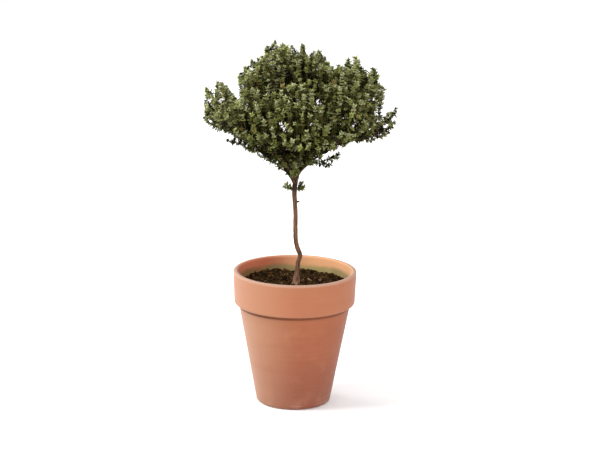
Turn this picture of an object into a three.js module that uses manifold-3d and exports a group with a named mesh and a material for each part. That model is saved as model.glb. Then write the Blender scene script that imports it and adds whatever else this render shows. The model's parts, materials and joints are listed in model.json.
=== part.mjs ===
// Common thyme grown as a standard: one bare stem with a full head, in a collared clay pot.
// Millimetres, +Z up. The origin is the middle of the pot's flat underside.
// +X is to the right of the front view and -Y faces the viewer.

import * as THREE from 'three';
import { mergeVertices } from 'three/addons/utils/BufferGeometryUtils.js';
import Module from 'manifold-3d';

const wasm = await Module();
wasm.setup();

// Driving sizes of the pot and its soil
const potHeight = 197;
const rimRadius = 90;
const baseRadius = 54;
const collarHeight = 48;
const collarFootRadius = 88;
const collarChamfer = 2;
const bodyTopRadius = 81.5;
const wallThickness = 7;
const floorThickness = 9;
const edgeRound = 2.5;
const potSides = 40;
const soilLevel = 173;
const soilRings = 5;
const soilRipple = 1.6;
const soilWave = 0.15;

// Gap that touching pieces keep between them
const touchGap = 0.3;
const sliverSize = 0.02;
const weldDistance = 0.001;

// The trunk's bends, from below the soil to its tip: height, shift right, shift back, radius
const trunkBends = [
  [soilLevel - 6, 0.6, 0, 6.6],
  [soilLevel, 1.0, 0, 5.6],
  [180, 1.9, 0, 4.6],
  [193, 2.9, 0, 3.6],
  [208, 4.3, 0.4, 2.9],
  [221, 7.1, 0.6, 3.3],
  [230, 3.6, 0.2, 3.4],
  [241, 1.0, 0, 3.2],
  [256, 0, -0.4, 3.2],
  [285, -0.4, 0, 3.1],
  [315, -2.3, 0.4, 3.5],
  [326, -1.8, 0.3, 3.5],
  [337, 0.2, 0, 3.3],
  [349, 2.5, 0, 3.1],
  [362, 4.6, 0.5, 2.7],
  [382, 6.0, 2.0, 2.0],
];
const trunkSides = 7;
const trunkSteps = 22;
const flareTop = 200;
const flareLobes = 4;
const flareDepth = 0.16;
const stubHeight = 300;
const stubLength = 6.5;
const stubRise = 0.35;
const stubFootRadius = 1.6;
const stubEndRadius = 1.2;

// Boughs: radius at the trunk and at the tip, and how far each arches above a straight line
const boughFootRadius = 2.1;
const boughTipRadius = 1.25;
const boughSides = 5;
const boughSteps = 4;
const boughArch = 0.1;
const boughEntry = 0.8;

// The growth rule that each mass of foliage is worked out from
const goldenAngle = Math.PI * (3 - Math.sqrt(5));
const stemTipRadius = 0.9;
const stemSteps = 3;
const twigTipRadius = 0.55;
const twigSteps = 2;
const twigRoots = 0.75;
const twigOut = 0.85;
const twigUp = 0.3;
const leastTwig = 0.5;
const twigProbes = 12;
const lowestLatitude = -0.5;
const leastReach = 0.92;
const mostReach = 1;
const leafLength = 18;
const leafWidth = 9;
const leafThickness = 1.5;
const leastLeafSize = 0.8;
const leafSizeRange = 0.25;
const leafGap = 9;
const leafSpread = 0.95;
const tipSpread = 0.45;
const tipShare = 0.97;
const coreShare = 0.7;
const leafShare = 0.78;
const coreRipple = 0.13;
const coreWave = 9;
const coreDrawIn = 0.96;
const borderMargin = 0.2;
const twigMargin = 1.2;
const limbMargin = 1.4;
const markGap = 2;

// The masses. Each has a centre, half sizes, the slope at which it rises away from the trunk,
// the height where it leaves the trunk, how many twigs are tried, and a seed.
const masses = [
  { name: 'left', centre: [-76, 0, 420], half: [50, 48, 44], rise: 0.35, from: 330, twigs: 18, seed: 1 },
  { name: 'left_front', centre: [-52, -54, 416], half: [48, 48, 42], rise: 0.4, from: 335, twigs: 18, seed: 2 },
  { name: 'front', centre: [0, -72, 414], half: [46, 50, 42], rise: 0.4, from: 343, twigs: 18, seed: 3 },
  { name: 'right_front', centre: [52, -54, 419], half: [48, 48, 42], rise: 0.4, from: 352, twigs: 18, seed: 4 },
  { name: 'right', centre: [88, -4, 410], half: [44, 38, 22], rise: 0.35, from: 345, twigs: 18, seed: 5 },
  { name: 'right_back', centre: [56, 54, 430], half: [48, 48, 44], rise: 0.35, from: 348, twigs: 18, seed: 6 },
  { name: 'back', centre: [2, 72, 428], half: [46, 50, 46], rise: 0.35, from: 340, twigs: 18, seed: 7 },
  { name: 'left_back', centre: [-54, 54, 428], half: [48, 48, 44], rise: 0.35, from: 338, twigs: 18, seed: 8 },
  { name: 'top_left', centre: [-32, -4, 468], half: [50, 54, 58], rise: 0, from: 358, twigs: 19, seed: 9 },
  { name: 'top_middle', centre: [20, 4, 468], half: [48, 56, 56], rise: 0, from: 382, twigs: 19, seed: 10 },
  { name: 'top_right', centre: [72, 0, 452], half: [47, 52, 54], rise: 0, from: 364, twigs: 19, seed: 11 },
  { name: 'lower_left', centre: [-42, -6, 386], half: [44, 34, 21], rise: 0.35, from: 333, twigs: 12, seed: 12 },
  { name: 'lower_right', centre: [42, -6, 385], half: [38, 32, 18], rise: 0.3, from: 357, twigs: 12, seed: 13 },
  { name: 'lower_front', centre: [-4, -30, 385], half: [34, 30, 24], rise: 0.3, from: 349, twigs: 12, seed: 14 },
];

// The small sprouts on the bare trunk follow the same rule at a finer scale, with no core
const sproutScale = 0.38;
const sprouts = [
  { name: 'sprout_left', centre: [-13, -1, 325], half: [4, 4, 4], rise: 0, from: 321, twigs: 2, seed: 21 },
  { name: 'sprout_right', centre: [9, -1, 326], half: [4, 4, 4], rise: 0, from: 321, twigs: 2, seed: 22 },
];

function fraction(a, b) {
  const wave = Math.sin(a * 12.9898 + b * 78.233) * 43758.5453;
  return wave - Math.floor(wave);
}

function toSolid(geometry) {
  geometry.deleteAttribute('normal');
  geometry.deleteAttribute('uv');
  const merged = mergeVertices(geometry, weldDistance);
  return new wasm.Manifold(new wasm.Mesh({
    numProp: 3,
    vertProperties: new Float32Array(merged.attributes.position.array),
    triVerts: new Uint32Array(merged.index.array),
  }));
}

function toGeometry(solid) {
  const mesh = solid.getMesh();
  const geometry = new THREE.BufferGeometry();
  geometry.setAttribute('position', new THREE.BufferAttribute(mesh.vertProperties, 3));
  geometry.setIndex(new THREE.BufferAttribute(mesh.triVerts, 1));
  geometry.computeVertexNormals();
  return geometry;
}

// The largest body of a solid. This fills sealed hollows and drops slivers and loose scraps.
// The solid is made anew from its corners, so that parts that hung on a sliver come apart.
function largestBody(solid) {
  const bodies = toSolid(toGeometry(solid.simplify(sliverSize))).decompose();
  const sizes = bodies.map((body) => body.volume());
  return bodies[sizes.indexOf(Math.max(...sizes))];
}

// A round bar bent along a curve. radiusAt takes the share of the length and the angle round it.
function bentBar(curve, radiusAt, sides, steps) {
  const bar = new THREE.CylinderGeometry(1, 1, 1, sides, steps);
  const frames = curve.computeFrenetFrames(steps, false);
  const place = bar.attributes.position;
  const point = new THREE.Vector3();
  for (let i = 0; i < place.count; i += 1) {
    const across = place.getX(i);
    const along = place.getZ(i);
    const ring = Math.round((place.getY(i) + 0.5) * steps);
    const radius = radiusAt(ring / steps, Math.atan2(along, across));
    point.copy(curve.getPointAt(ring / steps));
    point.addScaledVector(frames.normals[ring], across * radius);
    point.addScaledVector(frames.binormals[ring], -along * radius);
    place.setXYZ(i, point.x, point.y, point.z);
  }
  return toSolid(bar);
}

function evenTaper(first, last) {
  return (share) => first + (last - first) * share;
}

function vector(numbers) {
  return new THREE.Vector3(...numbers);
}

function lathePoint(radius, height) {
  return new THREE.Vector2(radius, height);
}

// LatheGeometry turns about Y, so its result is stood up on Z
function turned(profile, sides) {
  const geometry = new THREE.LatheGeometry(profile, sides);
  geometry.rotateX(Math.PI / 2);
  return geometry;
}

// Inner radius of the pot at a height
function innerRadius(height) {
  const collarFoot = potHeight - collarHeight;
  const slope = (bodyTopRadius - baseRadius) / (collarFoot - collarChamfer);
  return Math.min(baseRadius + slope * height, bodyTopRadius) - wallThickness;
}

function makePot() {
  const collarFoot = potHeight - collarHeight;
  const profile = [
    lathePoint(0, 0),
    lathePoint(baseRadius - edgeRound, 0),
    lathePoint(baseRadius, edgeRound),
    lathePoint(bodyTopRadius, collarFoot - collarChamfer),
    lathePoint(collarFootRadius, collarFoot),
    lathePoint(rimRadius, potHeight - edgeRound),
    lathePoint(rimRadius - edgeRound, potHeight),
    lathePoint(rimRadius - wallThickness + edgeRound / 2, potHeight),
    lathePoint(rimRadius - wallThickness, potHeight - edgeRound),
    lathePoint(innerRadius(collarFoot), collarFoot),
    lathePoint(innerRadius(floorThickness), floorThickness),
    lathePoint(0, floorThickness),
  ];
  return toSolid(turned(profile, potSides));
}

// The soil fills the pot to its level. Its top ripples, but lies flat round the trunk's foot.
function makeSoil() {
  const bottom = floorThickness + touchGap;
  const collarFoot = potHeight - collarHeight;
  const topRadius = innerRadius(collarFoot) - touchGap;
  const profile = [
    lathePoint(0, bottom),
    lathePoint(innerRadius(bottom) - touchGap, bottom),
    lathePoint(topRadius, collarFoot),
    lathePoint(topRadius, soilLevel),
  ];
  for (let ring = soilRings - 1; ring >= 0; ring -= 1) {
    profile.push(lathePoint(topRadius * ring / soilRings, soilLevel));
  }
  const geometry = turned(profile, potSides / 2);
  const place = geometry.attributes.position;
  const flatRadius = topRadius / soilRings;
  for (let i = 0; i < place.count; i += 1) {
    const radius = Math.hypot(place.getX(i), place.getY(i));
    const onTop = Math.abs(place.getZ(i) - soilLevel) < touchGap;
    if (onTop && radius > flatRadius + 1 && radius < topRadius - 1) {
      const ripple = Math.sin(place.getX(i) * soilWave) * Math.cos(place.getY(i) * soilWave);
      place.setZ(i, soilLevel + ripple * soilRipple);
    }
  }
  return toSolid(geometry);
}

const trunkLine = new THREE.CatmullRomCurve3(
  trunkBends.map(([height, right, back]) => new THREE.Vector3(right, back, height)),
  false,
  'centripetal',
);

const trunkTop = trunkBends[trunkBends.length - 1][0];

function trunkRadius(height) {
  const next = Math.max(1, trunkBends.findIndex(([bend]) => bend >= Math.min(height, trunkTop)));
  const [foot, , , footRadius] = trunkBends[next - 1];
  const [top, , , topRadius] = trunkBends[next];
  return THREE.MathUtils.mapLinear(height, foot, top, footRadius, topRadius);
}

// The point of the trunk's middle line at a height, found by halving
function trunkPoint(height) {
  let low = 0;
  let high = 1;
  while (high - low > 1e-5) {
    const middle = (low + high) / 2;
    if (trunkLine.getPointAt(middle).z < height) {
      low = middle;
    } else {
      high = middle;
    }
  }
  return trunkLine.getPointAt(low);
}

function makeTrunkBar(grow) {
  const radiusAt = (share, angle) => {
    const height = trunkLine.getPointAt(share).z;
    const flare = Math.max(0, (flareTop - height) / (flareTop - soilLevel));
    return (trunkRadius(height) + grow) * (1 + flareDepth * flare * Math.cos(angle * flareLobes));
  };
  return bentBar(trunkLine, radiusAt, trunkSides, trunkSteps);
}

// The trunk with the stub of a cut side shoot, cut off flat on the soil
function makeTrunk() {
  const root = trunkPoint(stubHeight);
  const end = root.clone().add(new THREE.Vector3(stubLength, 0, stubLength * stubRise));
  const stub = bentBar(new THREE.LineCurve3(root, end), evenTaper(stubFootRadius, stubEndRadius), 5, 1);
  const below = new THREE.BoxGeometry(rimRadius, rimRadius, soilLevel);
  below.translate(0, 0, touchGap + soilLevel / 2);
  return makeTrunkBar(0).add(stub).subtract(toSolid(below));
}

// A mass is a rounded body that slopes up away from the trunk. These two turn a point into
// shares of its half sizes and back.
function toShares(mass, point) {
  const offset = point.clone().sub(mass.middle);
  offset.z -= mass.rise * offset.dot(mass.outward);
  return offset.divide(mass.halves);
}

function fromShares(mass, shares) {
  const offset = shares.clone().multiply(mass.halves);
  offset.z += mass.rise * offset.dot(mass.outward);
  return offset.add(mass.middle);
}

// The room between a point and the nearest flat border to another mass
function borderRoom(mass, point) {
  let room = Infinity;
  for (const other of masses) {
    if (other !== mass) {
      const mine = point.distanceToSquared(mass.middle) - mass.weight;
      const theirs = point.distanceToSquared(other.middle) - other.weight;
      const apart = mass.middle.distanceTo(other.middle);
      room = Math.min(room, (theirs - mine) / (2 * apart));
    }
  }
  return room;
}

function settle(mass, scale) {
  mass.scale = scale;
  mass.middle = vector(mass.centre);
  mass.halves = vector(mass.half);
  mass.weight = mass.halves.lengthSq() / 3;
  mass.outward = new THREE.Vector3(mass.middle.x, mass.middle.y, 0).normalize();
}

// A mass's bough and the stem that carries it on: one route from the trunk to its middle
function layBough(mass) {
  const foot = trunkPoint(mass.from);
  if (mass.from === trunkTop) {
    foot.addScaledVector(trunkLine.getTangentAt(1), touchGap);
  }
  const inward = toShares(mass, foot).normalize();
  const entry = fromShares(mass, inward.multiplyScalar(boughEntry));
  const bend = foot.clone().lerp(entry, 0.5);
  bend.z += foot.distanceTo(entry) * boughArch;
  mass.limb = new THREE.QuadraticBezierCurve3(foot, bend, entry);
  const onward = mass.limb.getTangent(1);
  const start = entry.clone().addScaledVector(onward, touchGap);
  const lean = start.clone().addScaledVector(onward, start.distanceTo(mass.middle) / 2);
  mass.stem = new THREE.QuadraticBezierCurve3(start, lean, mass.middle);
}

// A sprout's stem starts at the trunk's skin and turns up
function laySproutStem(sprout) {
  const foot = trunkPoint(sprout.from);
  foot.addScaledVector(sprout.outward, trunkRadius(sprout.from) + touchGap);
  const lean = new THREE.Vector3(sprout.middle.x, sprout.middle.y, foot.z);
  sprout.stem = new THREE.QuadraticBezierCurve3(foot, lean, sprout.middle);
}

// Marks along the trunk, the boughs and the stems, which foliage keeps clear of, and the same
// limbs grown by the gap, which cut what still touches them
const limbMarks = [];
const blockers = [];

function markLimb(curve, radiusAt, owner) {
  const count = Math.ceil(curve.getLength() / markGap);
  for (let i = 0; i <= count; i += 1) {
    limbMarks.push({ at: curve.getPointAt(i / count), radius: radiusAt(i / count), owner });
  }
}

function clearOfLimbs(mass, point) {
  return limbMarks.every((mark) => mark.owner === mass
    || point.distanceTo(mark.at) > mark.radius + limbMargin);
}

// Twig ends are spread over the mass by the golden angle, from its top down. Each twig leaves
// the stem outwards and turns up to its end.
function twigRoute(mass, index) {
  const share = (index + 0.5) / mass.twigs;
  const up = 1 - share * (1 - lowestLatitude);
  const out = Math.sqrt(1 - up * up);
  const turn = index * goldenAngle + mass.seed;
  const reach = leastReach + (mostReach - leastReach) * fraction(mass.seed, index);
  const direction = new THREE.Vector3(out * Math.cos(turn), out * Math.sin(turn), up);
  const end = fromShares(mass, direction.multiplyScalar(reach));
  const start = mass.stem.getPointAt(1 - twigRoots * share);
  const bend = new THREE.Vector3(
    start.x + (end.x - start.x) * twigOut,
    start.y + (end.y - start.y) * twigOut,
    start.z + (end.z - start.z) * twigUp,
  );
  return new THREE.QuadraticBezierCurve3(start, bend, end);
}

// The part of a twig's route that stays in the mass's space, or null where little does
function keptPart(mass, route) {
  let kept = 0;
  while (kept < twigProbes) {
    const point = route.getPointAt((kept + 1) / twigProbes);
    if (borderRoom(mass, point) < twigMargin || !clearOfLimbs(mass, point)) {
      break;
    }
    kept += 1;
  }
  if (kept < leastTwig * twigProbes) {
    return null;
  }
  const points = [];
  for (let i = 0; i <= twigSteps; i += 1) {
    points.push(route.getPointAt(kept / twigProbes * i / twigSteps));
  }
  return new THREE.CatmullRomCurve3(points);
}

// A leaf is a flat eight-faced blade. Its root is sunk to the middle of its twig
function makeLeaf(root, pointing, across, size) {
  const blade = new THREE.OctahedronGeometry(1);
  blade.translate(0, 0, 1);
  blade.scale(leafWidth * size / 2, leafThickness * size / 2, leafLength * size / 2);
  const face = new THREE.Vector3().crossVectors(pointing, across);
  blade.applyMatrix4(new THREE.Matrix4().makeBasis(across, face, pointing));
  blade.translate(root.x, root.y, root.z);
  return blade;
}

function cornersOf(geometry) {
  const place = geometry.attributes.position;
  const corners = [];
  for (let i = 0; i < place.count; i += 1) {
    corners.push(new THREE.Vector3().fromBufferAttribute(place, i));
  }
  return corners;
}

// Leaves stand on a twig in crossed pairs, with the last pair closed round its tip
function leavesOn(mass, twig) {
  const length = twig.getLength();
  const gap = leafGap * mass.scale;
  const leaves = [];
  for (let pair = 0; pair * gap < length; pair += 1) {
    const share = Math.min(1 - pair * gap / length, tipShare);
    const root = twig.getPointAt(share);
    const along = twig.getTangentAt(share);
    const level = new THREE.Vector3(-along.y, along.x, 0).normalize();
    const raised = new THREE.Vector3().crossVectors(along, level);
    const spread = pair === 0 ? tipSpread : leafSpread;
    for (let half = 0; half < 2; half += 1) {
      const turn = mass.seed + pair * Math.PI / 2 + half * Math.PI;
      const outward = level.clone().multiplyScalar(Math.cos(turn)).addScaledVector(raised, Math.sin(turn));
      const pointing = along.clone().multiplyScalar(Math.cos(spread));
      pointing.addScaledVector(outward, Math.sin(spread));
      const across = new THREE.Vector3().crossVectors(along, outward);
      const chance = fraction(mass.seed + pair, half + length);
      const size = (leastLeafSize + leafSizeRange * chance) * mass.scale;
      const leaf = makeLeaf(root, pointing, across, size);
      const corners = cornersOf(leaf);
      const fits = corners.every((corner) => borderRoom(mass, corner) > borderMargin
        && clearOfLimbs(mass, corner));
      if (fits && toShares(mass, root).length() > leafShare) {
        leaves.push(toSolid(leaf));
      }
    }
  }
  return leaves;
}

// The lumpy core that a mass's twigs stand out of, drawn in where it would pass a border
function makeCore(mass) {
  const ball = new THREE.IcosahedronGeometry(1, 1);
  const place = ball.attributes.position;
  const point = new THREE.Vector3();
  for (let i = 0; i < place.count; i += 1) {
    const direction = new THREE.Vector3().fromBufferAttribute(place, i);
    const turns = direction.clone().multiplyScalar(coreWave).addScalar(mass.seed);
    const lump = Math.sin(turns.x) + Math.sin(turns.y) * Math.cos(turns.z);
    let share = coreShare * (1 + coreRipple * lump);
    do {
      point.copy(fromShares(mass, direction.clone().multiplyScalar(share)));
      share *= coreDrawIn;
    } while (borderRoom(mass, point) < borderMargin);
    place.setXYZ(i, point.x, point.y, point.z);
  }
  return toSolid(ball);
}

function makeMass(mass) {
  const stemRadius = evenTaper(boughTipRadius * mass.scale, stemTipRadius * mass.scale);
  const twigRadius = evenTaper(stemTipRadius * mass.scale, twigTipRadius * mass.scale);
  const pieces = [bentBar(mass.stem, stemRadius, 3, stemSteps)];
  for (let index = 0; index < mass.twigs; index += 1) {
    const twig = keptPart(mass, twigRoute(mass, index));
    if (twig) {
      pieces.push(bentBar(twig, twigRadius, 3, twigSteps));
      pieces.push(...leavesOn(mass, twig));
    }
  }
  if (mass.scale === 1) {
    pieces.push(makeCore(mass));
  }
  let solid = wasm.Manifold.union(pieces);
  for (const blocker of blockers) {
    if (blocker.owner !== mass) {
      solid = solid.subtract(blocker.solid);
    }
  }
  return largestBody(solid);
}

const plant = new THREE.Group();

function addPiece(name, solid, color, roughness) {
  const material = new THREE.MeshStandardMaterial({ color, roughness, metalness: 0 });
  const mesh = new THREE.Mesh(toGeometry(solid), material);
  mesh.name = name;
  plant.add(mesh);
}

const clayColour = 0xc98a68;
const soilColour = 0x2b2019;
const barkColour = 0x6e4a35;
const leafColour = 0x6f7a4c;

addPiece('pot', makePot(), clayColour, 0.85);
addPiece('soil', makeSoil(), soilColour, 1);
addPiece('trunk', makeTrunk(), barkColour, 0.9);

const boughRadius = evenTaper(boughFootRadius, boughTipRadius);
const clearRadius = evenTaper(boughFootRadius + touchGap, boughTipRadius + touchGap);
markLimb(trunkLine, (share) => trunkRadius(trunkLine.getPointAt(share).z), null);
for (const mass of masses) {
  settle(mass, 1);
  layBough(mass);
  markLimb(mass.limb, boughRadius, null);
  markLimb(mass.stem, () => boughTipRadius, mass);
}

// Each bough is cut clear of the trunk and of the boughs before it
blockers.push({ solid: makeTrunkBar(touchGap), owner: null });
for (const mass of masses) {
  let bough = bentBar(mass.limb, boughRadius, boughSides, boughSteps);
  for (const blocker of blockers) {
    bough = bough.subtract(blocker.solid);
  }
  addPiece(`bough_${mass.name}`, largestBody(bough), barkColour, 0.9);
  blockers.push({ solid: bentBar(mass.limb, clearRadius, boughSides, boughSteps), owner: null });
}
for (const mass of masses) {
  const clearStem = bentBar(mass.stem, () => boughTipRadius + touchGap, boughSides, stemSteps);
  blockers.push({ solid: clearStem, owner: mass });
}

for (const mass of masses) {
  addPiece(`mass_${mass.name}`, makeMass(mass), leafColour, 0.8);
}
for (const sprout of sprouts) {
  settle(sprout, sproutScale);
  laySproutStem(sprout);
  addPiece(sprout.name, makeMass(sprout), leafColour, 0.8);
}

export default plant;
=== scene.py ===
import json
import math

import bpy
import numpy as np
from mathutils import Matrix, Vector

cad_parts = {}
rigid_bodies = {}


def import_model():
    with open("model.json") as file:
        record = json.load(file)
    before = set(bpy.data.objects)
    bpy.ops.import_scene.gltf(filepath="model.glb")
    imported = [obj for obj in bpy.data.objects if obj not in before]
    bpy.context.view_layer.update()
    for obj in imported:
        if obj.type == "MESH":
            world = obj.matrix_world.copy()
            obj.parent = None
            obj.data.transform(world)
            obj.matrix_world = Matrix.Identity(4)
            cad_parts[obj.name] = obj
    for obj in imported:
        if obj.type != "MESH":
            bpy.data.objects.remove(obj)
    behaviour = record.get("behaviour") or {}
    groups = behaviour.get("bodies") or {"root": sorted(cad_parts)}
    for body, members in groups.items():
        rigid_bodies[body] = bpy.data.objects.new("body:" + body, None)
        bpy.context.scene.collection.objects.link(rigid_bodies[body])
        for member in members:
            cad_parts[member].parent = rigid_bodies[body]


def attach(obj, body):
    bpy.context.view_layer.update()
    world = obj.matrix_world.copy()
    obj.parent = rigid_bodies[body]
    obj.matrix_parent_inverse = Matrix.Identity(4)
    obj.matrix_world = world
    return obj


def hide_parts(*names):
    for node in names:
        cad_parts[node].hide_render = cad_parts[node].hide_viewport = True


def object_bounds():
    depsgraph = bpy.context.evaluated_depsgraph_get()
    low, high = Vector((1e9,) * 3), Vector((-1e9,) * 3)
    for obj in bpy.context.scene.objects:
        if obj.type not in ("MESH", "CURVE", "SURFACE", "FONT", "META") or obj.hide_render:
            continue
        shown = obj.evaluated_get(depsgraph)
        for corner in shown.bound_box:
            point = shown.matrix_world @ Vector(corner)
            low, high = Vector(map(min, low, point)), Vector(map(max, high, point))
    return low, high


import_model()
cadBox = [list(corner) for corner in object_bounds()]
mm = 0.001  # the growing rule works in millimetres
print("frame loaded")


# A socket of a node tree. Sums on it add Math nodes.
class Wire:
    def __init__(self, tree, socket):
        self.tree = tree
        self.socket = socket

    def math(self, operation, other=0.0):
        return self.tree.add("ShaderNodeMath", {"operation": operation}, {0: self, 1: other})

    def __add__(self, other):
        return self.math("ADD", other)

    def __sub__(self, other):
        return self.math("SUBTRACT", other)

    def __rsub__(self, other):
        return self.tree.add("ShaderNodeMath", {"operation": "SUBTRACT"}, {0: other, 1: self})

    def __mul__(self, other):
        return self.math("MULTIPLY", other)

    def __pow__(self, other):
        return self.math("POWER", other)

    __radd__ = __add__
    __rmul__ = __mul__

    # 0 below low, 1 above high, and smooth between them
    def rise(self, low, high):
        settings = {"interpolation_type": "SMOOTHSTEP"}
        return self.tree.add("ShaderNodeMapRange", settings, {"Value": self, "From Min": low, "From Max": high})


class Tree:
    def __init__(self, nodeTree):
        self.nodeTree = nodeTree

    def pick(self, sockets, name):
        if isinstance(name, int):
            return sockets[name]
        return next(socket for socket in sockets if socket.enabled and socket.name == name)

    def add(self, kind, settings=None, values=None, out=0):
        node = self.nodeTree.nodes.new(kind)
        for name, setting in (settings or {}).items():
            setattr(node, name, setting)
        for name, value in (values or {}).items():
            socket = self.pick(node.inputs, name)
            if isinstance(value, Wire):
                self.nodeTree.links.new(value.socket, socket)
            elif value is not None:
                socket.default_value = value
        return Wire(self, self.pick(node.outputs, out))

    def place(self, stretch=(1, 1, 1)):
        spot = self.add("ShaderNodeTexCoord", out="Object")
        return self.add("ShaderNodeVectorMath", {"operation": "MULTIPLY"}, {0: spot, 1: stretch})

    def noise(self, spot, scale, detail=3.0, rough=0.5):
        values = {"Vector": spot, "Scale": scale, "Detail": detail, "Roughness": rough}
        return self.add("ShaderNodeTexNoise", None, values)

    def axis(self, spot, name):
        return self.add("ShaderNodeSeparateXYZ", None, {0: spot}, name)

    def mix(self, share, first, second):
        first, second = ((*colour, 1) if isinstance(colour, tuple) else colour for colour in (first, second))
        values = {"Factor": share, "A": first, "B": second}
        return self.add("ShaderNodeMix", {"data_type": "RGBA"}, values, "Result")

    # Lays tones over a colour one by one, each as far as its share
    def layer(self, colour, *layers):
        for share, tone in layers:
            colour = self.mix(share, colour, tone)
        return colour

    def bump(self, height, strength, distance):
        return self.add("ShaderNodeBump", None, {"Height": height, "Strength": strength, "Distance": distance})

    # What each point carries under a name
    def read(self, name, kind="FLOAT_VECTOR"):
        return self.add("GeometryNodeInputNamedAttribute", {"data_type": kind}, {"Name": name}, "Attribute")

    def chance(self, kind, least, most, seed):
        values = {"Min": least, "Max": most, "Seed": seed}
        return self.add("FunctionNodeRandomValue", {"data_type": kind}, values, "Value")

    # One of the shapes on each point
    def spray(self, points, shapes, which, turn, scale):
        picked = {"Collection": shapes, "Separate Children": True, "Reset Children": True}
        return self.add("GeometryNodeInstanceOnPoints", None, {
            "Points": points, "Instance": self.add("GeometryNodeCollectionInfo", None, picked),
            "Pick Instance": True, "Instance Index": which, "Rotation": turn, "Scale": scale,
        })

    def dress(self, geometry, material):
        whole = self.add("GeometryNodeRealizeInstances", None, {"Geometry": geometry})
        return self.add("GeometryNodeSetMaterial", None, {"Geometry": whole, "Material": material})


def makeMaterial(name, fixed, paint=None):
    material = bpy.data.materials.new(name)
    material.use_nodes = True
    shader = material.node_tree.nodes["Principled BSDF"]
    for socket, value in fixed.items():
        shader.inputs[socket].default_value = value
    if paint:
        for socket, wire in paint(Tree(material.node_tree)).items():
            material.node_tree.links.new(wire.socket, shader.inputs[socket])
    return material


def addObject(name, mesh):
    thing = bpy.data.objects.new(name, mesh)
    bpy.context.scene.collection.objects.link(thing)
    return thing


def makeMesh(name, points, faces, smooth=True):
    mesh = bpy.data.meshes.new(name)
    mesh.from_pydata([tuple(p) for p in points], [], faces)
    mesh.validate()
    mesh.polygons.foreach_set("use_smooth", [smooth] * len(mesh.polygons))
    return mesh


# Gathers shapes into one mesh, each with its own material number
class Gather:
    def __init__(self):
        self.points = []
        self.faces = []
        self.numbers = []

    def take(self, points, faces, number=0):
        start = len(self.points)
        self.points.extend(points)
        self.faces.extend(tuple(start + i for i in face) for face in faces)
        self.numbers.extend([number] * len(faces))

    def finish(self, name, materials, smooth=True):
        mesh = makeMesh(name, self.points, self.faces, smooth)
        for material in materials:
            mesh.materials.append(material)
        mesh.polygons.foreach_set("material_index", self.numbers)
        return addObject(name, mesh)


def settlePiece(piece, slot, *nodes):
    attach(piece, "root")
    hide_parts(*nodes)
    piece.data.calc_loop_triangles()
    print(piece.name, len(piece.data.loop_triangles), "triangles")


def newTree(name, inputs):
    group = bpy.data.node_groups.new(name, "GeometryNodeTree")
    group.interface.new_socket("Geometry", in_out="OUTPUT", socket_type="NodeSocketGeometry")
    group.interface.new_socket("Geometry", in_out="INPUT", socket_type="NodeSocketGeometry")
    for label, kind in inputs:
        group.interface.new_socket(label, in_out="INPUT", socket_type=kind)
    tree = Tree(group)
    entry = group.nodes.new("NodeGroupInput")
    wires = {socket.name: Wire(tree, socket) for socket in entry.outputs if socket.name}
    return group, tree, wires


def closeTree(group, wire):
    group.links.new(wire.socket, group.nodes.new("NodeGroupOutput").inputs[0])
    return group


# Puts a shape on each point, turned to the point's own directions and scaled to its own size
def makeSprayTree():
    group, tree, given = newTree("spray", [
        ("Shapes", "NodeSocketCollection"), ("Size", "NodeSocketFloat"),
        ("Upper", "NodeSocketMaterial"), ("Under", "NodeSocketMaterial"),
    ])
    turn = tree.add("FunctionNodeAxesToRotation", {"primary_axis": "Y", "secondary_axis": "Z"},
                    {"Primary Axis": tree.read("pointing"), "Secondary Axis": tree.read("facing")})
    ownSize = {0: tree.read("size"), "Scale": given["Size"]}
    scale = tree.add("ShaderNodeVectorMath", {"operation": "SCALE"}, ownSize)
    spray = tree.spray(given["Geometry"], given["Shapes"], tree.read("kind", "INT"), turn, scale)
    below = {"Selection": tree.read("below", "BOOLEAN"), "Material": given["Under"]}
    below["Geometry"] = tree.dress(spray, given["Upper"])
    return closeTree(group, tree.add("GeometryNodeSetMaterial", None, below))


# Turns lines into round twigs, each point as thick as its own thickness
def makeTwigTree():
    group, tree, given = newTree("twigs", [
        ("Sides", "NodeSocketInt"), ("Thickness", "NodeSocketFloat"), ("Bark", "NodeSocketMaterial"),
    ])
    lines = tree.add("GeometryNodeMeshToCurve", None, {"Mesh": given["Geometry"]})
    ring = tree.add("GeometryNodeCurvePrimitiveCircle", None, {"Resolution": given["Sides"], "Radius": 1.0})
    scale = tree.read("thickness", "FLOAT") * given["Thickness"]
    twigs = tree.add("GeometryNodeCurveToMesh", None,
                     {"Curve": lines, "Profile Curve": ring, "Scale": scale, "Fill Caps": True})
    smooth = tree.add("GeometryNodeSetShadeSmooth", None, {"Geometry": twigs, "Shade Smooth": True})
    return closeTree(group, tree.dress(smooth, given["Bark"]))


# Strews shapes over a surface by chance, from a fixed seed
def makeStrewTree():
    group, tree, given = newTree("strew", [
        ("Shapes", "NodeSocketCollection"), ("Density", "NodeSocketFloat"), ("Seed", "NodeSocketInt"),
        ("Smallest", "NodeSocketFloat"), ("Largest", "NodeSocketFloat"), ("Finish", "NodeSocketMaterial"),
    ])
    points = tree.add("GeometryNodeDistributePointsOnFaces", {"distribute_method": "RANDOM"},
                      {"Mesh": given["Geometry"], "Density": given["Density"], "Seed": given["Seed"]}, "Points")
    turn = tree.chance("FLOAT_VECTOR", (0, 0, 0), (math.tau, math.tau, math.tau), given["Seed"])
    luck = tree.chance("FLOAT", 0.0, 1.0, 7)
    scale = given["Smallest"] + (luck ** 3.0) * (given["Largest"] - given["Smallest"])
    strewn = tree.spray(points, given["Shapes"], tree.chance("INT", 0, 50, 3), turn, scale)
    return closeTree(group, tree.dress(strewn, given["Finish"]))


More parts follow.
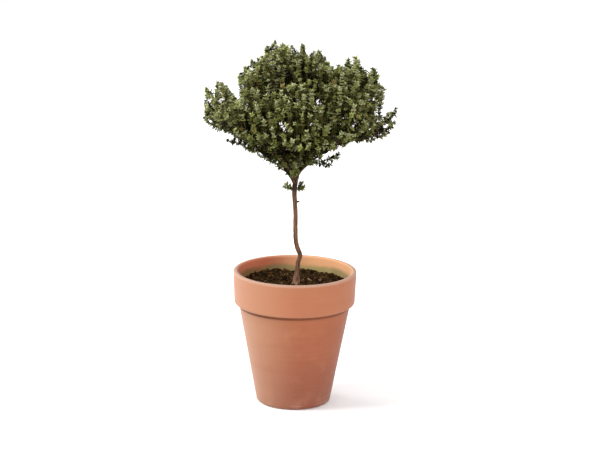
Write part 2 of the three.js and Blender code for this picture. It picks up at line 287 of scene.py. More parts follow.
# Runs a tree on an object and leaves the result as its plain mesh
def grow(thing, group, **inputs):
    modifier = thing.modifiers.new("grow", "NODES")
    modifier.node_group = group
    for socket in group.interface.items_tree:
        label = socket.name.lower()
        if socket.in_out == "INPUT" and label in inputs:
            modifier[socket.identifier] = inputs[label]
    grown = thing.evaluated_get(bpy.context.evaluated_depsgraph_get())
    mesh = bpy.data.meshes.new_from_object(grown)
    thing.modifiers.remove(modifier)
    thing.data = mesh
    mesh.name = thing.name
    for attribute in [a.name for a in mesh.attributes if not a.is_required and not a.is_internal]:
        if attribute not in ("material_index", "sharp_face"):
            mesh.attributes.remove(mesh.attributes[attribute])
    return thing


def makeShapes(name, meshes):
    shapes = bpy.data.collections.new(name)
    for number, mesh in enumerate(meshes):
        shapes.objects.link(bpy.data.objects.new(f"{name}{number:02d}", mesh))
    return shapes


def clearShapes(shapes):
    for thing in list(shapes.objects):
        bpy.data.objects.remove(thing)
    bpy.data.collections.remove(shapes)


sprayTree = makeSprayTree()
twigTree = makeTwigTree()
strewTree = makeStrewTree()


def fraction(a, b):
    wave = np.sin(a * 12.9898 + b * 78.233) * 43758.5453
    return wave - np.floor(wave)


def unit(vectors):
    vectors = np.asarray(vectors, float)
    return vectors / np.maximum(np.linalg.norm(vectors, axis=-1, keepdims=True), 1e-9)


# The faces between two rings of points, and from a ring to a tip. Turned ones look the other way.
def joinRings(low, high, sides, turned=False):
    faces = [(low + k, low + (k + 1) % sides, high + (k + 1) % sides, high + k) for k in range(sides)]
    return [(a, d, c, b) for a, b, c, d in faces] if turned else faces


def closeRing(ring, tip, sides, turned=False):
    faces = [(tip, ring + k, ring + (k + 1) % sides) for k in range(sides)]
    return [(a, c, b) for a, b, c in faces] if turned else faces


# A smooth wandering value along a line, between about -1 and 1
def wander(at, seed, pace):
    value = np.zeros_like(np.asarray(at, float))
    for k in range(4):
        value = value + np.sin(at * pace * (1 + 0.7 * k) + math.tau * fraction(seed, k)) / (1 + 0.6 * k)
    return value / 2


pot = {
    "height": 197.0, "rimRadius": 90.0, "collarHeight": 48.0, "collarFootRadius": 88.0, "undercut": 2.0,
    "bodyTopRadius": 81.5, "baseRadius": 54.0, "wall": 7.0, "floor": 9.0,
    "lipRound": 3.2, "edgeRound": 2.4, "footRound": 3.2, "neckRound": 1.2, "shoulderRound": 8.0,
    "floorRound": 4.0, "sides": 180, "step": 6,
    "wobble": 0.25, "wobbleFrom": 30.0, "wobbleTo": 89.9,  # how far a thrown wall strays, and at which radii
}
potFoot = pot["height"] - pot["collarHeight"]  # the height of the collar's lower edge
potSlope = (pot["bodyTopRadius"] - pot["baseRadius"]) / (potFoot - pot["undercut"])


def rounded(corner, before, after, radius, steps=5):
    corner, before, after = (np.array(p, float) for p in (corner, before, after))
    first = corner + unit(before - corner) * radius
    last = corner + unit(after - corner) * radius
    shares = np.linspace(0, 1, steps + 1)[:, None]
    return list((1 - shares) ** 2 * first + 2 * shares * (1 - shares) * corner + shares ** 2 * last)


# The pot's section from the middle of its underside round to the middle of its floor
def potProfile():
    p = pot
    corners = [  # radius, height, how round
        (0, 0, 0),
        (p["baseRadius"], 0, p["footRound"]),
        (p["bodyTopRadius"], potFoot - p["undercut"], p["neckRound"]),
        (p["collarFootRadius"], potFoot, p["edgeRound"]),
        (p["rimRadius"], p["height"], p["lipRound"]),
        (p["rimRadius"] - p["wall"], p["height"], p["lipRound"]),
        (p["bodyTopRadius"] - p["wall"], potFoot, p["shoulderRound"]),
        (p["baseRadius"] + potSlope * p["floor"] - p["wall"], p["floor"], p["floorRound"]),
        (0, p["floor"], 0),
    ]
    line = []
    for i, (*corner, room) in enumerate(corners):
        if room:
            line.extend(rounded(corner, corners[i - 1][:2], corners[i + 1][:2], room))
        else:
            line.append(np.array(corner, float))
    dense = [line[0]]
    for point in line[1:]:
        parts = max(1, int(np.linalg.norm(point - dense[-1]) // p["step"]))
        start = dense[-1]
        dense.extend(start + (point - start) * (k + 1) / parts for k in range(parts))
    return np.array(dense)


def turnPot():
    profile = potProfile()
    sides = pot["sides"]
    angles = np.arange(sides) * math.tau / sides
    points = [(0, 0, profile[0][1])]
    for radius, height in profile[1:-1]:
        stray = pot["wobble"] * np.sin(2 * angles + 0.4) * (height / pot["height"])
        out = radius + stray * (pot["wobbleFrom"] < radius < pot["wobbleTo"])
        points += [(o * math.cos(a), o * math.sin(a), height) for o, a in zip(out, angles)]
    points.append((0, 0, profile[-1][1]))
    rings = len(profile) - 2
    faces = closeRing(1, 0, sides, turned=True)
    for ring in range(rings - 1):
        faces += joinRings(1 + ring * sides, 1 + (ring + 1) * sides, sides)
    faces += closeRing(1 + (rings - 1) * sides, len(points) - 1, sides)
    return np.array(points) * mm, faces


clayLook = {
    "base": (0.322, 0.100, 0.044), "deep": (0.272, 0.076, 0.033), "pale": (0.460, 0.190, 0.100),
    "foot": (0.240, 0.076, 0.043), "bloom": (0.500, 0.290, 0.200), "lip": (0.490, 0.330, 0.250),
    "inner": (0.760, 0.390, 0.190), "algae": (0.135, 0.104, 0.034), "algaeGreen": (0.250, 0.250, 0.092),
    "stainAndPaintedShade": (0.150, 0.040, 0.012), "paintedLitSide": (0.425, 0.245, 0.150), "shaded": (0.560, 0.135, 0.062),
}


def paintClay(tree):
    c = clayLook
    spot = tree.place()
    height = tree.axis(spot, "Z")
    x, y = tree.axis(spot, "X"), tree.axis(spot, "Y")
    radius = (x * x + y * y) ** 0.5
    cloud = tree.noise(spot, 9, 3, 0.55)
    patch = tree.noise(spot, 34, 5, 0.6)
    grain = tree.noise(spot, 900, 3, 0.7)
    turning = tree.noise(tree.place((3, 3, 330)), 1, 4, 0.6)
    broad = tree.noise(tree.place((2, 2, 60)), 1, 2, 0.5)
    bloom = height.rise(0.034, 0.002) * patch.rise(0.42, 0.7) * 0.15
    # edge: a thin pale line at the base's rounded edge, a painted highlight
    edge = height.rise(0.0042, 0.0052) * height.rise(0.0068, 0.0058) * patch.rise(0.42, 0.58) * 0.25
    # corner: a band just under the collar's edge, painted shade with a little grime
    corner = height.rise(0.1415, 0.1445) * height.rise(0.1485, 0.1478) * radius.rise(0.0790, 0.0795)
    inside = radius.rise(0.0852, 0.0846) * height.rise(0.151, 0.153)
    # side: 0 on the left and 1 on the right, the lit side of the inner wall
    side = x.rise(-0.050, 0.035)
    # algae on the inner wall, just above the compost
    line = height - (cloud - 0.5) * 0.022 - (patch - 0.5) * 0.006
    damp = inside * line.rise(0.1885, 0.1815) * (0.55 + patch * 0.6).math("MINIMUM", 1.0)
    # green: the algae lighter and greener towards the lit right side, partly painted light
    green = tree.mix(tree.noise(spot, 22, 2).rise(0.42, 0.6) * 0.35 + side * 0.65, c["algae"], c["algaeGreen"])
    colour = tree.layer(
        # the foot tone darkens the wall towards the bottom: painted shade where less light reaches
        c["base"], (cloud.rise(0.35, 0.7), c["deep"]), (height.rise(0.13, 0.0) * 0.9, c["foot"]),
        # the left side is painted paler: painted light and sheen from the lamps on the left
        (x.rise(0.015, -0.075) * 0.65, c["paintedLitSide"]), (height.rise(0.144, 0.152) * 0.42, c["pale"]),
        (patch.rise(0.5, 0.8) * 0.25, c["pale"]), (turning.rise(0.5, 0.8) * 0.2, c["pale"]),
        (broad.rise(0.5, 0.75) * 0.25, c["deep"]), (grain.rise(0.62, 0.72) * 0.2, c["bloom"]),
        (grain.rise(0.36, 0.28) * 0.3, c["stainAndPaintedShade"]),
        ((bloom + edge).math("MINIMUM", 1.0), c["bloom"]),  # a faint bloom at the foot, and a painted highlight along the base's rounded edge
        (height.rise(0.1925, 0.1965) * (0.35 + patch * 0.5), c["lip"]),  # the lip paler along its top
        (corner * (0.5 + patch), c["stainAndPaintedShade"]),  # painted shade in the corner under the collar, with a little grime
        # the inner wall: painted shade on its left side, painted light on its right side
        (inside * (0.75 - side * 0.75), c["shaded"]), (inside * side * 0.93, c["inner"]), (damp * 0.9, green),
    )
    relief = grain * 0.35 + turning * 1.0 + patch * 0.6
    return {
        "Base Color": colour,
        "Roughness": 0.72 - damp * 0.15 - cloud * 0.1,
        "Normal": tree.bump(relief, 0.35, 0.0006),
    }


clayFinish = {"Specular IOR Level": 0.25, "Sheen Weight": 0.16, "Sheen Roughness": 0.4}
clay = makeMaterial("firedClay", clayFinish, paintClay)
potShape = Gather()
potShape.take(*turnPot())
potPiece = potShape.finish("clayPot", [clay])
settlePiece(potPiece, "clay", "pot")
print("pot turned")


soil = {
    "level": 173.0, "gap": 0.35, "rings": 44, "sides": 150,
    "lumps": 4.2, "calmFrom": 3.0, "calmOver": 12.0,  # calm round the trunk's foot
    "rimFrom": 40.0, "rimOver": 34.0, "rimRise": 1.4,  # a little higher along the wall
    "mounds": [(-44, 52, 420, 3.4), (20, 40, 160, 3.0), (46, 30, 190, 3.2)],  # right, back, spread, height
    "seed": 5, "crumbs": 330000.0, "smallest": 0.5, "largest": 5.4,
    "chips": 34000.0, "chipSmallest": 0.6, "chipLargest": 4.2,
}


def innerRadius(height):
    if height >= potFoot:
        share = (height - potFoot) / pot["collarHeight"]
        return pot["bodyTopRadius"] - pot["wall"] + share * (pot["rimRadius"] - pot["bodyTopRadius"])
    return pot["baseRadius"] + potSlope * height - pot["wall"]


def soilHeight(x, y):
    lump = wander(x, 1, 0.09) * wander(y, 2, 0.1) + 0.6 * wander(x + y, 3, 0.16) * wander(x - y, 4, 0.14)
    fine = 0.25 * wander(x, 5, 0.5) * wander(y, 6, 0.47)
    away = np.hypot(x - 2, y)
    rim = np.clip((away - soil["rimFrom"]) / soil["rimOver"], 0, 1) ** 2
    behind = 0
    for right, back, spread, height in soil["mounds"]:
        behind = behind + height * np.exp(-((x - right) ** 2 + (y - back) ** 2) / spread)
    calm = np.clip((away - soil["calmFrom"]) / soil["calmOver"], 0, 1)
    return soil["level"] + calm * (soil["lumps"] * (lump + fine) + behind) + soil["rimRise"] * rim


def layCompost():
    sides, rings = soil["sides"], soil["rings"]
    angles = np.arange(sides) * math.tau / sides
    edge = innerRadius(soil["level"]) - soil["gap"]
    points = [(0, 0, float(soilHeight(np.float64(0), np.float64(0))))]
    for ring in range(1, rings + 1):
        radius = edge * ring / rings
        x, y = radius * np.cos(angles), radius * np.sin(angles)
        points += list(zip(x, y, soilHeight(x, y)))
    bottom = pot["floor"] + soil["gap"]
    for height in (potFoot, bottom):
        radius = innerRadius(height) - soil["gap"]
        points += [(radius * math.cos(a), radius * math.sin(a), height) for a in angles]
    points.append((0, 0, bottom))
    faces = closeRing(1, 0, sides)
    for ring in range(rings + 1):
        faces += joinRings(1 + ring * sides, 1 + (ring + 1) * sides, sides, turned=True)
    faces += closeRing(1 + (rings + 1) * sides, len(points) - 1, sides, turned=True)
    return np.array(points) * mm, faces


def paintSoil(tree, dark, light):
    spot = tree.place()
    clod = tree.noise(spot, 160, 5, 0.65)
    grain = tree.noise(spot, 1300, 3, 0.7)
    bright = tuple(min(1, 2.2 * value) for value in light)
    colour = tree.layer(dark, (clod.rise(0.42, 0.68), light), (grain.rise(0.58, 0.72) * 0.5, bright))
    relief = tree.bump(grain + clod, 0.6, 0.0008)
    return {"Base Color": colour, "Roughness": 0.95 - clod * 0.2, "Normal": relief}


# A rough lump with 20 faces
def crumbMesh(name, seed, flat=0.8, long=1.0):
    a, b = 0.5257311, 0.8506508
    corners = [(-a, b, 0), (a, b, 0), (-a, -b, 0), (a, -b, 0), (0, -a, b), (0, a, b), (0, -a, -b), (0, a, -b),
               (b, 0, -a), (b, 0, a), (-b, 0, -a), (-b, 0, a)]
    faces = [(0, 11, 5), (0, 5, 1), (0, 1, 7), (0, 7, 10), (0, 10, 11), (1, 5, 9), (5, 11, 4), (11, 10, 2),
             (10, 7, 6), (7, 1, 8), (3, 9, 4), (3, 4, 2), (3, 2, 6), (3, 6, 8), (3, 8, 9), (4, 9, 5), (2, 4, 11),
             (6, 2, 10), (8, 6, 7), (9, 8, 1)]
    points = []
    for i, corner in enumerate(corners):
        size = 0.7 + 0.6 * fraction(seed, i)
        points.append(np.array(corner) * size * (1, long, flat) * mm)
    return makeMesh(name, points, faces, smooth=False)


# gloss, dark and light colour
soilLook = {
    "compost": (0.05, (0.008, 0.004, 0.001), (0.040, 0.020, 0.007)),
    "compostCrumb": (0.05, (0.006, 0.003, 0.001), (0.085, 0.042, 0.012)),
    "barkChip": (0.1, (0.120, 0.060, 0.025), (0.340, 0.200, 0.105)),
}
soilFinish = {
    name: makeMaterial(name, {"Specular IOR Level": gloss}, lambda tree: paintSoil(tree, dark, light))
    for name, (gloss, dark, light) in soilLook.items()
}
bedPoints, bedFaces = layCompost()
bedShape = Gather()
bedShape.take(bedPoints, bedFaces)
soilBed = bedShape.finish("compostBed", [soilFinish["compost"]])

# the upper face alone carries the crumbs
upperFace = Gather()
topCount = soil["sides"] * (soil["rings"] - 1)
upperFace.take(bedPoints, bedFaces[:topCount])
crumbShapes = makeShapes("crumb", [crumbMesh(f"crumbShape{k}", k + 1, 0.75 + 0.05 * k) for k in range(5)])
chipShapes = makeShapes("chip", [crumbMesh(f"chipShape{k}", k + 11, 0.35, 1.5) for k in range(4)])
soilCrumbs = upperFace.finish("compostCrumbs", [])
grow(soilCrumbs, strewTree, shapes=crumbShapes, density=soil["crumbs"], seed=soil["seed"],
     smallest=soil["smallest"], largest=soil["largest"], finish=soilFinish["compostCrumb"])
soilChips = upperFace.finish("barkChips", [])
grow(soilChips, strewTree, shapes=chipShapes, density=soil["chips"], seed=soil["seed"] + 1,
     smallest=soil["chipSmallest"], largest=soil["chipLargest"], finish=soilFinish["barkChip"])
clearShapes(crumbShapes)
clearShapes(chipShapes)
for piece in (soilBed, soilCrumbs, soilChips):
    settlePiece(piece, "soil", "soil")
print("compost laid")


# the trunk's bends: height, right, back, radius
trunkBends = np.array([
    (167, 0.6, 0.0, 6.6), (173, 1.0, 0.0, 5.6), (180, 1.9, 0.0, 4.6), (192, 2.9, 0.0, 3.6),
    (207, 4.3, 0.4, 2.9), (219.5, 7.1, 0.6, 3.3), (228.5, 3.6, 0.2, 3.4), (239, 1.0, 0.0, 3.2),
    (254, 0.0, -0.4, 3.2), (282, -0.4, 0.0, 3.1), (312, -2.3, 0.4, 3.5), (323, -1.8, 0.3, 3.5),
    (333.5, 0.2, 0.0, 3.3), (345.5, 2.5, 0.0, 3.1), (358, 4.6, 0.5, 2.7), (378, 6.0, 2.0, 2.0),
])

wood = {
    "trunkSides": 72, "trunkStep": 0.7, "cut": 172.0, "flareTop": 204.0, "flareLobes": 4, "flareDepth": 0.2,
    "boughSides": 20, "boughStep": 1.2, "boughFoot": 2.2, "boughTip": 1.25, "stemTip": 0.9,
    "collar": 0.55, "collarLength": 7.0, "boughArch": 0.1, "boughEntry": 0.8,
    "boughSpots": 24, "stemSpots": 14, "stringDepth": 0.1,
    "stubHeight": 297.5, "stubLength": 6.4, "stubRise": 0.35, "stubFoot": 1.7, "stubTip": 1.15,
    "stubSides": 14, "stubRings": 7, "stubDepth": 0.12,
}


# A curve through the bends that doesn't overshoot where they lie close
def smoothLine(bends, steps):
    padded = np.vstack([2 * bends[0] - bends[1], bends, 2 * bends[-1] - bends[-2]])
    line = []
    for i in range(len(bends) - 1):
        p0, p1, p2, p3 = padded[i:i + 4]
        t0, t1, t2 = (max(np.linalg.norm(b - a) ** 0.5, 1e-6) for a, b in ((p0, p1), (p1, p2), (p2, p3)))
        m1 = ((p1 - p0) / t0 - (p2 - p0) / (t0 + t1) + (p2 - p1) / t1) * t1
        m2 = ((p2 - p1) / t1 - (p3 - p1) / (t1 + t2) + (p3 - p2) / t2) * t1
        s = np.linspace(0, 1, steps, endpoint=False)[:, None]
        line.append(p1 + m1 * s + (3 * (p2 - p1) - 2 * m1 - m2) * s ** 2 + (2 * (p1 - p2) + m1 + m2) * s ** 3)
    return np.vstack(line + [bends[-1:]])


trunkLine = smoothLine(trunkBends[:, [1, 2, 0]], 16)


def trunkPoint(height):
    return np.array([np.interp(height, trunkLine[:, 2], trunkLine[:, 0]),
                     np.interp(height, trunkLine[:, 2], trunkLine[:, 1]), height])


def trunkRadius(height):
    return np.interp(height, trunkBends[:, 0], trunkBends[:, 3])


# A simple arch from one point to another
def bow(first, middle, last, count):
    s = np.linspace(0, 1, count)[:, None]
    return (1 - s) ** 2 * first + 2 * s * (1 - s) * middle + s ** 2 * last


def evenSteps(line, step):
    lengths = np.concatenate([[0], np.cumsum(np.linalg.norm(np.diff(line, axis=0), axis=1))])
    count = max(2, int(lengths[-1] / step) + 1)
    at = np.linspace(0, lengths[-1], count)
    return np.stack([np.interp(at, lengths, line[:, k]) for k in range(3)], axis=1), at


# Stringy bark: long ridges that wander round the limb and break off in places
def barkRelief(angle, along, seed):
    relief = 0
    for k, (count, depth) in enumerate(((7, 1.0), (11, 0.7), (17, 0.45))):
        drift = wander(along, seed + k, 0.045) * 3.0 + along * 0.012 * (k - 1)
        ridge = 1 - np.abs(np.sin(count * angle / 2 + drift))
        broken = 0.55 + 0.45 * wander(along + 9 * k * angle, seed + 10 + k, 0.22)
        relief = relief + depth * (ridge ** 1.4 - 0.35) * broken
    return relief


# A limb as a tube with its bark's relief, closed at both ends
def limbTube(line, radii, sides, seed, depth, lobes=None):
    tangents = unit(np.gradient(line, axis=0))
    side = unit(np.cross(tangents[0], (0.0, 1.0, 0.0)))
    lengths = np.concatenate([[0], np.cumsum(np.linalg.norm(np.diff(line, axis=0), axis=1))])
    angles = np.arange(sides) * math.tau / sides
    points = []
    for i, (centre, tangent) in enumerate(zip(line, tangents)):
        side = unit(side - tangent * np.dot(side, tangent))
        other = np.cross(tangent, side)
        swell = 1 + depth * barkRelief(angles, lengths[i], seed)
        if lobes is not None:
            swell = swell * lobes(line[i], angles)
        radius = radii[i] * swell
        across = centre + np.outer(np.cos(angles) * radius, side)
        points += list(across + np.outer(np.sin(angles) * radius, other))
    faces = []
    for ring in range(len(line) - 1):
        faces += joinRings(ring * sides, (ring + 1) * sides, sides)
    faces += closeRing(0, len(points), sides, turned=True)
    faces += closeRing((len(line) - 1) * sides, len(points) + 1, sides)
    points += [line[0] - tangents[0] * radii[0] * 0.1, line[-1] + tangents[-1] * radii[-1] * 0.5]
    return np.array(points) * mm, faces


# The trunk's foot swells into a few lobes, with a split between two of them
def rootFlare(centre, angles):
    flare = max(0.0, (wood["flareTop"] - centre[2]) / (wood["flareTop"] - soil["level"]))
    twist = centre[2] * 0.03
    split = 0.22 * flare * np.exp(-((np.mod(angles - 3.6 + math.pi, math.tau) - math.pi) / 0.22) ** 2)
    return 1 + wood["flareDepth"] * flare * np.cos(angles * wood["flareLobes"] + twist) - split


growth = {
    "twigRoots": 0.75, "twigOut": 0.85, "twigUp": 0.3, "lowest": -0.5, "leastReach": 0.92, "mostReach": 1.0,
    "golden": math.pi * (3 - math.sqrt(5)),
    "twigSpots": 12, "fewest": 6, "overlap": 4.0,  # points of a twig, and how far it may enter the next mass
}

# centre, half sizes, slope away from the trunk, height on the trunk, twigs, seed
massSizes = {
    "left": ((-76, 0, 416), (50, 48, 44), 0.35, 326, 18, 1),
    "left_front": ((-52, -54, 412), (48, 48, 42), 0.4, 331, 18, 2),
    "front": ((0, -72, 410), (46, 50, 42), 0.4, 339, 18, 3),
    "right_front": ((52, -54, 415), (48, 48, 42), 0.4, 348, 18, 4),
    "right": ((88, -4, 406), (44, 38, 22), 0.35, 341, 18, 5),
    "right_back": ((56, 54, 426), (48, 48, 44), 0.35, 344, 18, 6),
    "back": ((2, 72, 424), (46, 50, 46), 0.35, 336, 18, 7),
    "left_back": ((-54, 54, 424), (48, 48, 44), 0.35, 334, 18, 8),
    "top_left": ((-32, -4, 463), (50, 54, 58), 0, 354, 19, 9),
    "top_middle": ((20, 4, 463), (48, 56, 56), 0, 378, 19, 10),
    "top_right": ((72, 0, 447), (47, 52, 54), 0, 360, 19, 11),
    "lower_left": ((-42, -6, 382), (44, 34, 21), 0.35, 329, 12, 12),
    "lower_right": ((42, -6, 381), (38, 32, 18), 0.3, 353, 12, 13),
    "lower_front": ((-4, -30, 381), (34, 30, 24), 0.3, 345, 12, 14),
}


# A round mass of foliage that slopes away from the trunk
class Mass:
    def __init__(self, name, centre, half, rise, foot, twigs, seed):
        self.name = name
        self.centre = np.array(centre, float)
        self.half = np.array(half, float)
        self.rise = rise
        self.foot = foot
        self.twigs = twigs
        self.seed = seed
        self.weight = float(self.half @ self.half) / 3
        self.outward = unit(self.centre * (1, 1, 0))

    def toShares(self, points):
        offset = np.asarray(points, float) - self.centre
        offset = offset - np.outer(offset @ self.outward * self.rise, (0, 0, 1)).reshape(offset.shape)
        return offset / self.half

    def fromShares(self, shares):
        offset = np.asarray(shares, float) * self.half
        offset = offset + np.outer(offset @ self.outward * self.rise, (0, 0, 1)).reshape(offset.shape)
        return offset + self.centre


masses = [Mass(name, *sizes) for name, sizes in massSizes.items()]


# Room between points and the nearest flat border to another mass
def borderRoom(mass, points):
    points = np.asarray(points, float)
    room = np.full(points.shape[:-1], np.inf)
    mine = ((points - mass.centre) ** 2).sum(-1) - mass.weight
    for other in masses:
        if other is not mass:
            theirs = ((points - other.centre) ** 2).sum(-1) - other.weight
            room = np.minimum(room, (theirs - mine) / (2 * np.linalg.norm(mass.centre - other.centre)))
    return room


def layBough(mass):
    foot = trunkPoint(mass.foot)
    inward = unit(mass.toShares(foot))
    entry = mass.fromShares(inward * wood["boughEntry"])
    middle = (foot + entry) / 2
    middle[2] += np.linalg.norm(foot - entry) * wood["boughArch"]
    onward = unit(entry - middle)
    lean = entry + onward * np.linalg.norm(entry - mass.centre) / 2
    mass.bough = bow(foot, middle, entry, wood["boughSpots"])
    mass.stem = bow(entry, lean, mass.centre, wood["stemSpots"])


# Directions spread evenly over a mass, from its top down
def spreadOver(count, seed):
    index = np.arange(count)
    up = 1 - (index + 0.5) / count * (1 - growth["lowest"])
    out = np.sqrt(1 - up ** 2)
    turn = index * growth["golden"] + seed
    return np.stack([out * np.cos(turn), out * np.sin(turn), up], axis=1)


# A twig leaves its parent outwards and turns up to its end
def twigLine(start, end, count):
    middle = start + (end - start) * (growth["twigOut"], growth["twigOut"], growth["twigUp"])
    return bow(start, middle, end, count)


def layTwigs(mass):
    index = np.arange(mass.twigs)
    reach = growth["leastReach"] + (growth["mostReach"] - growth["leastReach"]) * fraction(mass.seed, index)
    ends = mass.fromShares(spreadOver(mass.twigs, mass.seed) * reach[:, None])
    mass.twigLines = []
    for i, end in enumerate(ends):
        share = 1 - growth["twigRoots"] * (i + 0.5) / mass.twigs
        start = mass.stem[int(round(share * (len(mass.stem) - 1)))]
        line = twigLine(start, end, growth["twigSpots"])
        keep = int(np.argmax(np.append(borderRoom(mass, line) < -growth["overlap"], True)))
        if keep >= growth["fewest"]:
            mass.twigLines.append(line[:keep])


for mass in masses:
    layBough(mass)
    layTwigs(mass)


barkLook = {
    "base": (0.105, 0.045, 0.022), "string": (0.225, 0.122, 0.064), "crack": (0.016, 0.007, 0.004),
    "upper": (0.028, 0.009, 0.004), "foot": (0.380, 0.215, 0.140),
}


def paintBark(tree):
    c = barkLook
    spot = tree.place()
    height = tree.axis(spot, "Z")
    strings = tree.noise(tree.place((1, 1, 0.07)), 1500, 3, 0.6)
    broad = tree.noise(tree.place((1, 1, 0.12)), 420, 3, 0.6)
    flakes = tree.noise(spot, 260, 4, 0.6)
    colour = tree.layer(
        c["base"], (broad.rise(0.35, 0.68), c["string"]),
        (height.rise(0.200, 0.178) * broad.rise(0.4, 0.6) * 0.8, c["foot"]),
        (strings.rise(0.56, 0.74) * 0.45, c["string"]),
        (height.rise(0.292, 0.322) * flakes.rise(0.2, 0.55) * 0.9, c["upper"]),
        (strings.rise(0.46, 0.3) * 0.75, c["crack"]),
    )
    relief = tree.bump(strings + broad, 0.7, 0.0005)
    return {"Base Color": colour, "Roughness": 0.9 - flakes * 0.15, "Normal": relief}


bark = makeMaterial("stringyBark", {"Specular IOR Level": 0.3}, paintBark)
cutEnd = makeMaterial("oldCut", {"Base Color": (0.022, 0.018, 0.015, 1), "Roughness": 0.85})
limbs = Gather()
trunkHeights = np.arange(wood["cut"], trunkBends[-1, 0], wood["trunkStep"])
trunkRoute = np.array([trunkPoint(h) for h in trunkHeights])
limbs.take(*limbTube(
    trunkRoute, trunkRadius(trunkHeights), wood["trunkSides"], 3, wood["stringDepth"], rootFlare))
for mass in masses:
    line, along = evenSteps(np.vstack([mass.bough, mass.stem[1:]]), wood["boughStep"])
    boughLength = np.linalg.norm(np.diff(mass.bough, axis=0), axis=1).sum()
    widths = [wood["boughFoot"], wood["boughTip"], wood["stemTip"]]
    radii = np.interp(along, [0, boughLength, along[-1]], widths)
    radii = radii * (1 + wood["collar"] * np.exp(-((along / wood["collarLength"]) ** 2)))
    limbs.take(*limbTube(line, radii, wood["boughSides"], 20 + mass.seed, wood["stringDepth"] * 0.9))
stubFoot = trunkPoint(wood["stubHeight"])
stubWay = np.array([wood["stubLength"], 0, wood["stubLength"] * wood["stubRise"]])
stubLine = stubFoot + np.linspace(0, 1, wood["stubRings"])[:, None] * stubWay
stubRadii = np.linspace(wood["stubFoot"], wood["stubTip"], wood["stubRings"])
limbs.take(*limbTube(stubLine, stubRadii, wood["stubSides"], 50, wood["stubDepth"]), number=1)
limbPiece = limbs.finish("trunkAndBoughs", [bark, cutEnd])
settlePiece(limbPiece, "bark", "trunk", *(f"bough_{mass.name}" for mass in masses))


# loose strips of bark, which crowd towards the trunk's foot
strips = {
    "count": 150, "length": 9.0, "width": 0.9, "lift": 0.3, "from": 174.0, "over": 190.0, "crowding": 1.25,
}


# One strip, lifting at its ends
def stripMesh():
    shares = np.linspace(-0.5, 0.5, 6)
    lift = 0.2 + 2.2 * np.abs(shares) ** 2.2
    wide = 0.5 * (1 - (2 * np.abs(shares)) ** 3 * 0.8)
    points = []
    for y, z, w in zip(shares, lift, wide):
        points += [(-w, y, z), (w, y, z), (w * 0.8, y, z - 0.22), (-w * 0.8, y, z - 0.22)]
    faces = [(0, 1, 2, 3), (23, 22, 21, 20)]
    for k in range(5):
        a, b = 4 * k, 4 * k + 4
        faces += [(a + 1, a, b, b + 1), (a + 2, a + 1, b + 1, b + 2),
                  (a + 3, a + 2, b + 2, b + 3), (a, a + 3, b + 3, b)]
    return makeMesh("strip", points, faces)


# A mesh of points, each with the directions, the size and the kind that the spray tree reads
def pointCloud(name, places, pointing, facing, size, kind):
    mesh = bpy.data.meshes.new(name)
    mesh.vertices.add(len(places))
    mesh.vertices.foreach_set("co", np.asarray(places, float).ravel() * mm)
    for label, values in (("pointing", pointing), ("facing", facing), ("size", np.asarray(size) * mm)):
        attribute = mesh.attributes.new(label, "FLOAT_VECTOR", "POINT")
        attribute.data.foreach_set("vector", np.asarray(values, float).ravel())
    attribute = mesh.attributes.new("kind", "INT", "POINT")
    attribute.data.foreach_set("value", np.asarray(kind, int))
    return addObject(name, mesh)


index = np.arange(strips["count"])
stripHeights = strips["from"] + strips["over"] * fraction(31, index) ** strips["crowding"]
stripTurn = math.tau * fraction(32, index)
around = np.stack([np.cos(stripTurn), np.sin(stripTurn), np.zeros(len(index))], axis=1)
stripRoots = np.array([trunkPoint(h) for h in stripHeights])
stripRoots = stripRoots + around * (trunkRadius(stripHeights) * (1.0 + 0.04 * fraction(33, index)))[:, None]
ahead = np.array([trunkPoint(h + 3) - trunkPoint(h - 3) for h in stripHeights])
stripSize = np.stack([
    strips["width"] * (0.6 + 0.9 * fraction(34, index)),
    strips["length"] * (0.5 + fraction(35, index)),
    strips["lift"] * (0.6 + 1.6 * fraction(36, index) ** 2),
], axis=1)
stripPoints = pointCloud("barkStrips", stripRoots, unit(ahead), around, stripSize, np.zeros(len(index)))
stripShapes = makeShapes("strip", [stripMesh()])
grow(stripPoints, sprayTree, shapes=stripShapes, size=1.0, upper=bark, under=bark)
clearShapes(stripShapes)
settlePiece(stripPoints, "bark", "trunk")
print("wood grown")


shoots = {
    "upSpacing": 1.9,  # how much further tips stand apart upwards than sideways
    # reach and spacing of each layer of tips
    "shells": [(1.04, 1.30, 8.2), (0.80, 0.96, 10.5), (0.55, 0.70, 13.0)],
    "swell": 0.3,  # how much further the tips of a mass's upper side reach
    "tryEvery": 6.0, "borderSlack": 1.5,  # how close tips are tried, and how far past the border
    "rise": 44.0, "lean": 0.16, "out": 0.66, "up": 0.34, "upturn": 0.5, "sag": 6.0, "bend": 4.0, "stray": 3.0,
    # what makes a parent a poor one: far aside, not the usual rise, or hardly below the tip
    "asideCost": 1.5, "riseCost": 0.6, "lowCost": 3.0, "leastRise": 8.0,
    "forkShoots": 90, "forkFrom": 326.0, "forkTo": 362.0, "forkReach": 16.0, "strayRise": 14.0,
    "points": 10, "boughGap": 4.5, "boughLength": 26.0, "litBelow": 392.0, "tipRoom": 2.6, "ragged": 7.0,
    "sure": 3, "fewest": 5,  # points at the foot that always stay, and the fewest of a shoot
    "twigFoot": 0.85, "twigEnd": 0.4, "shootFoot": 0.42, "shootEnd": 0.2,
}

# the camera: its place and lens in millimetres, and how far it looks down and rolls in degrees
view = {"side": 6.4, "away": 2750.0, "height": 934.3, "down": 13.693, "roll": 0.81, "lens": 117.0}

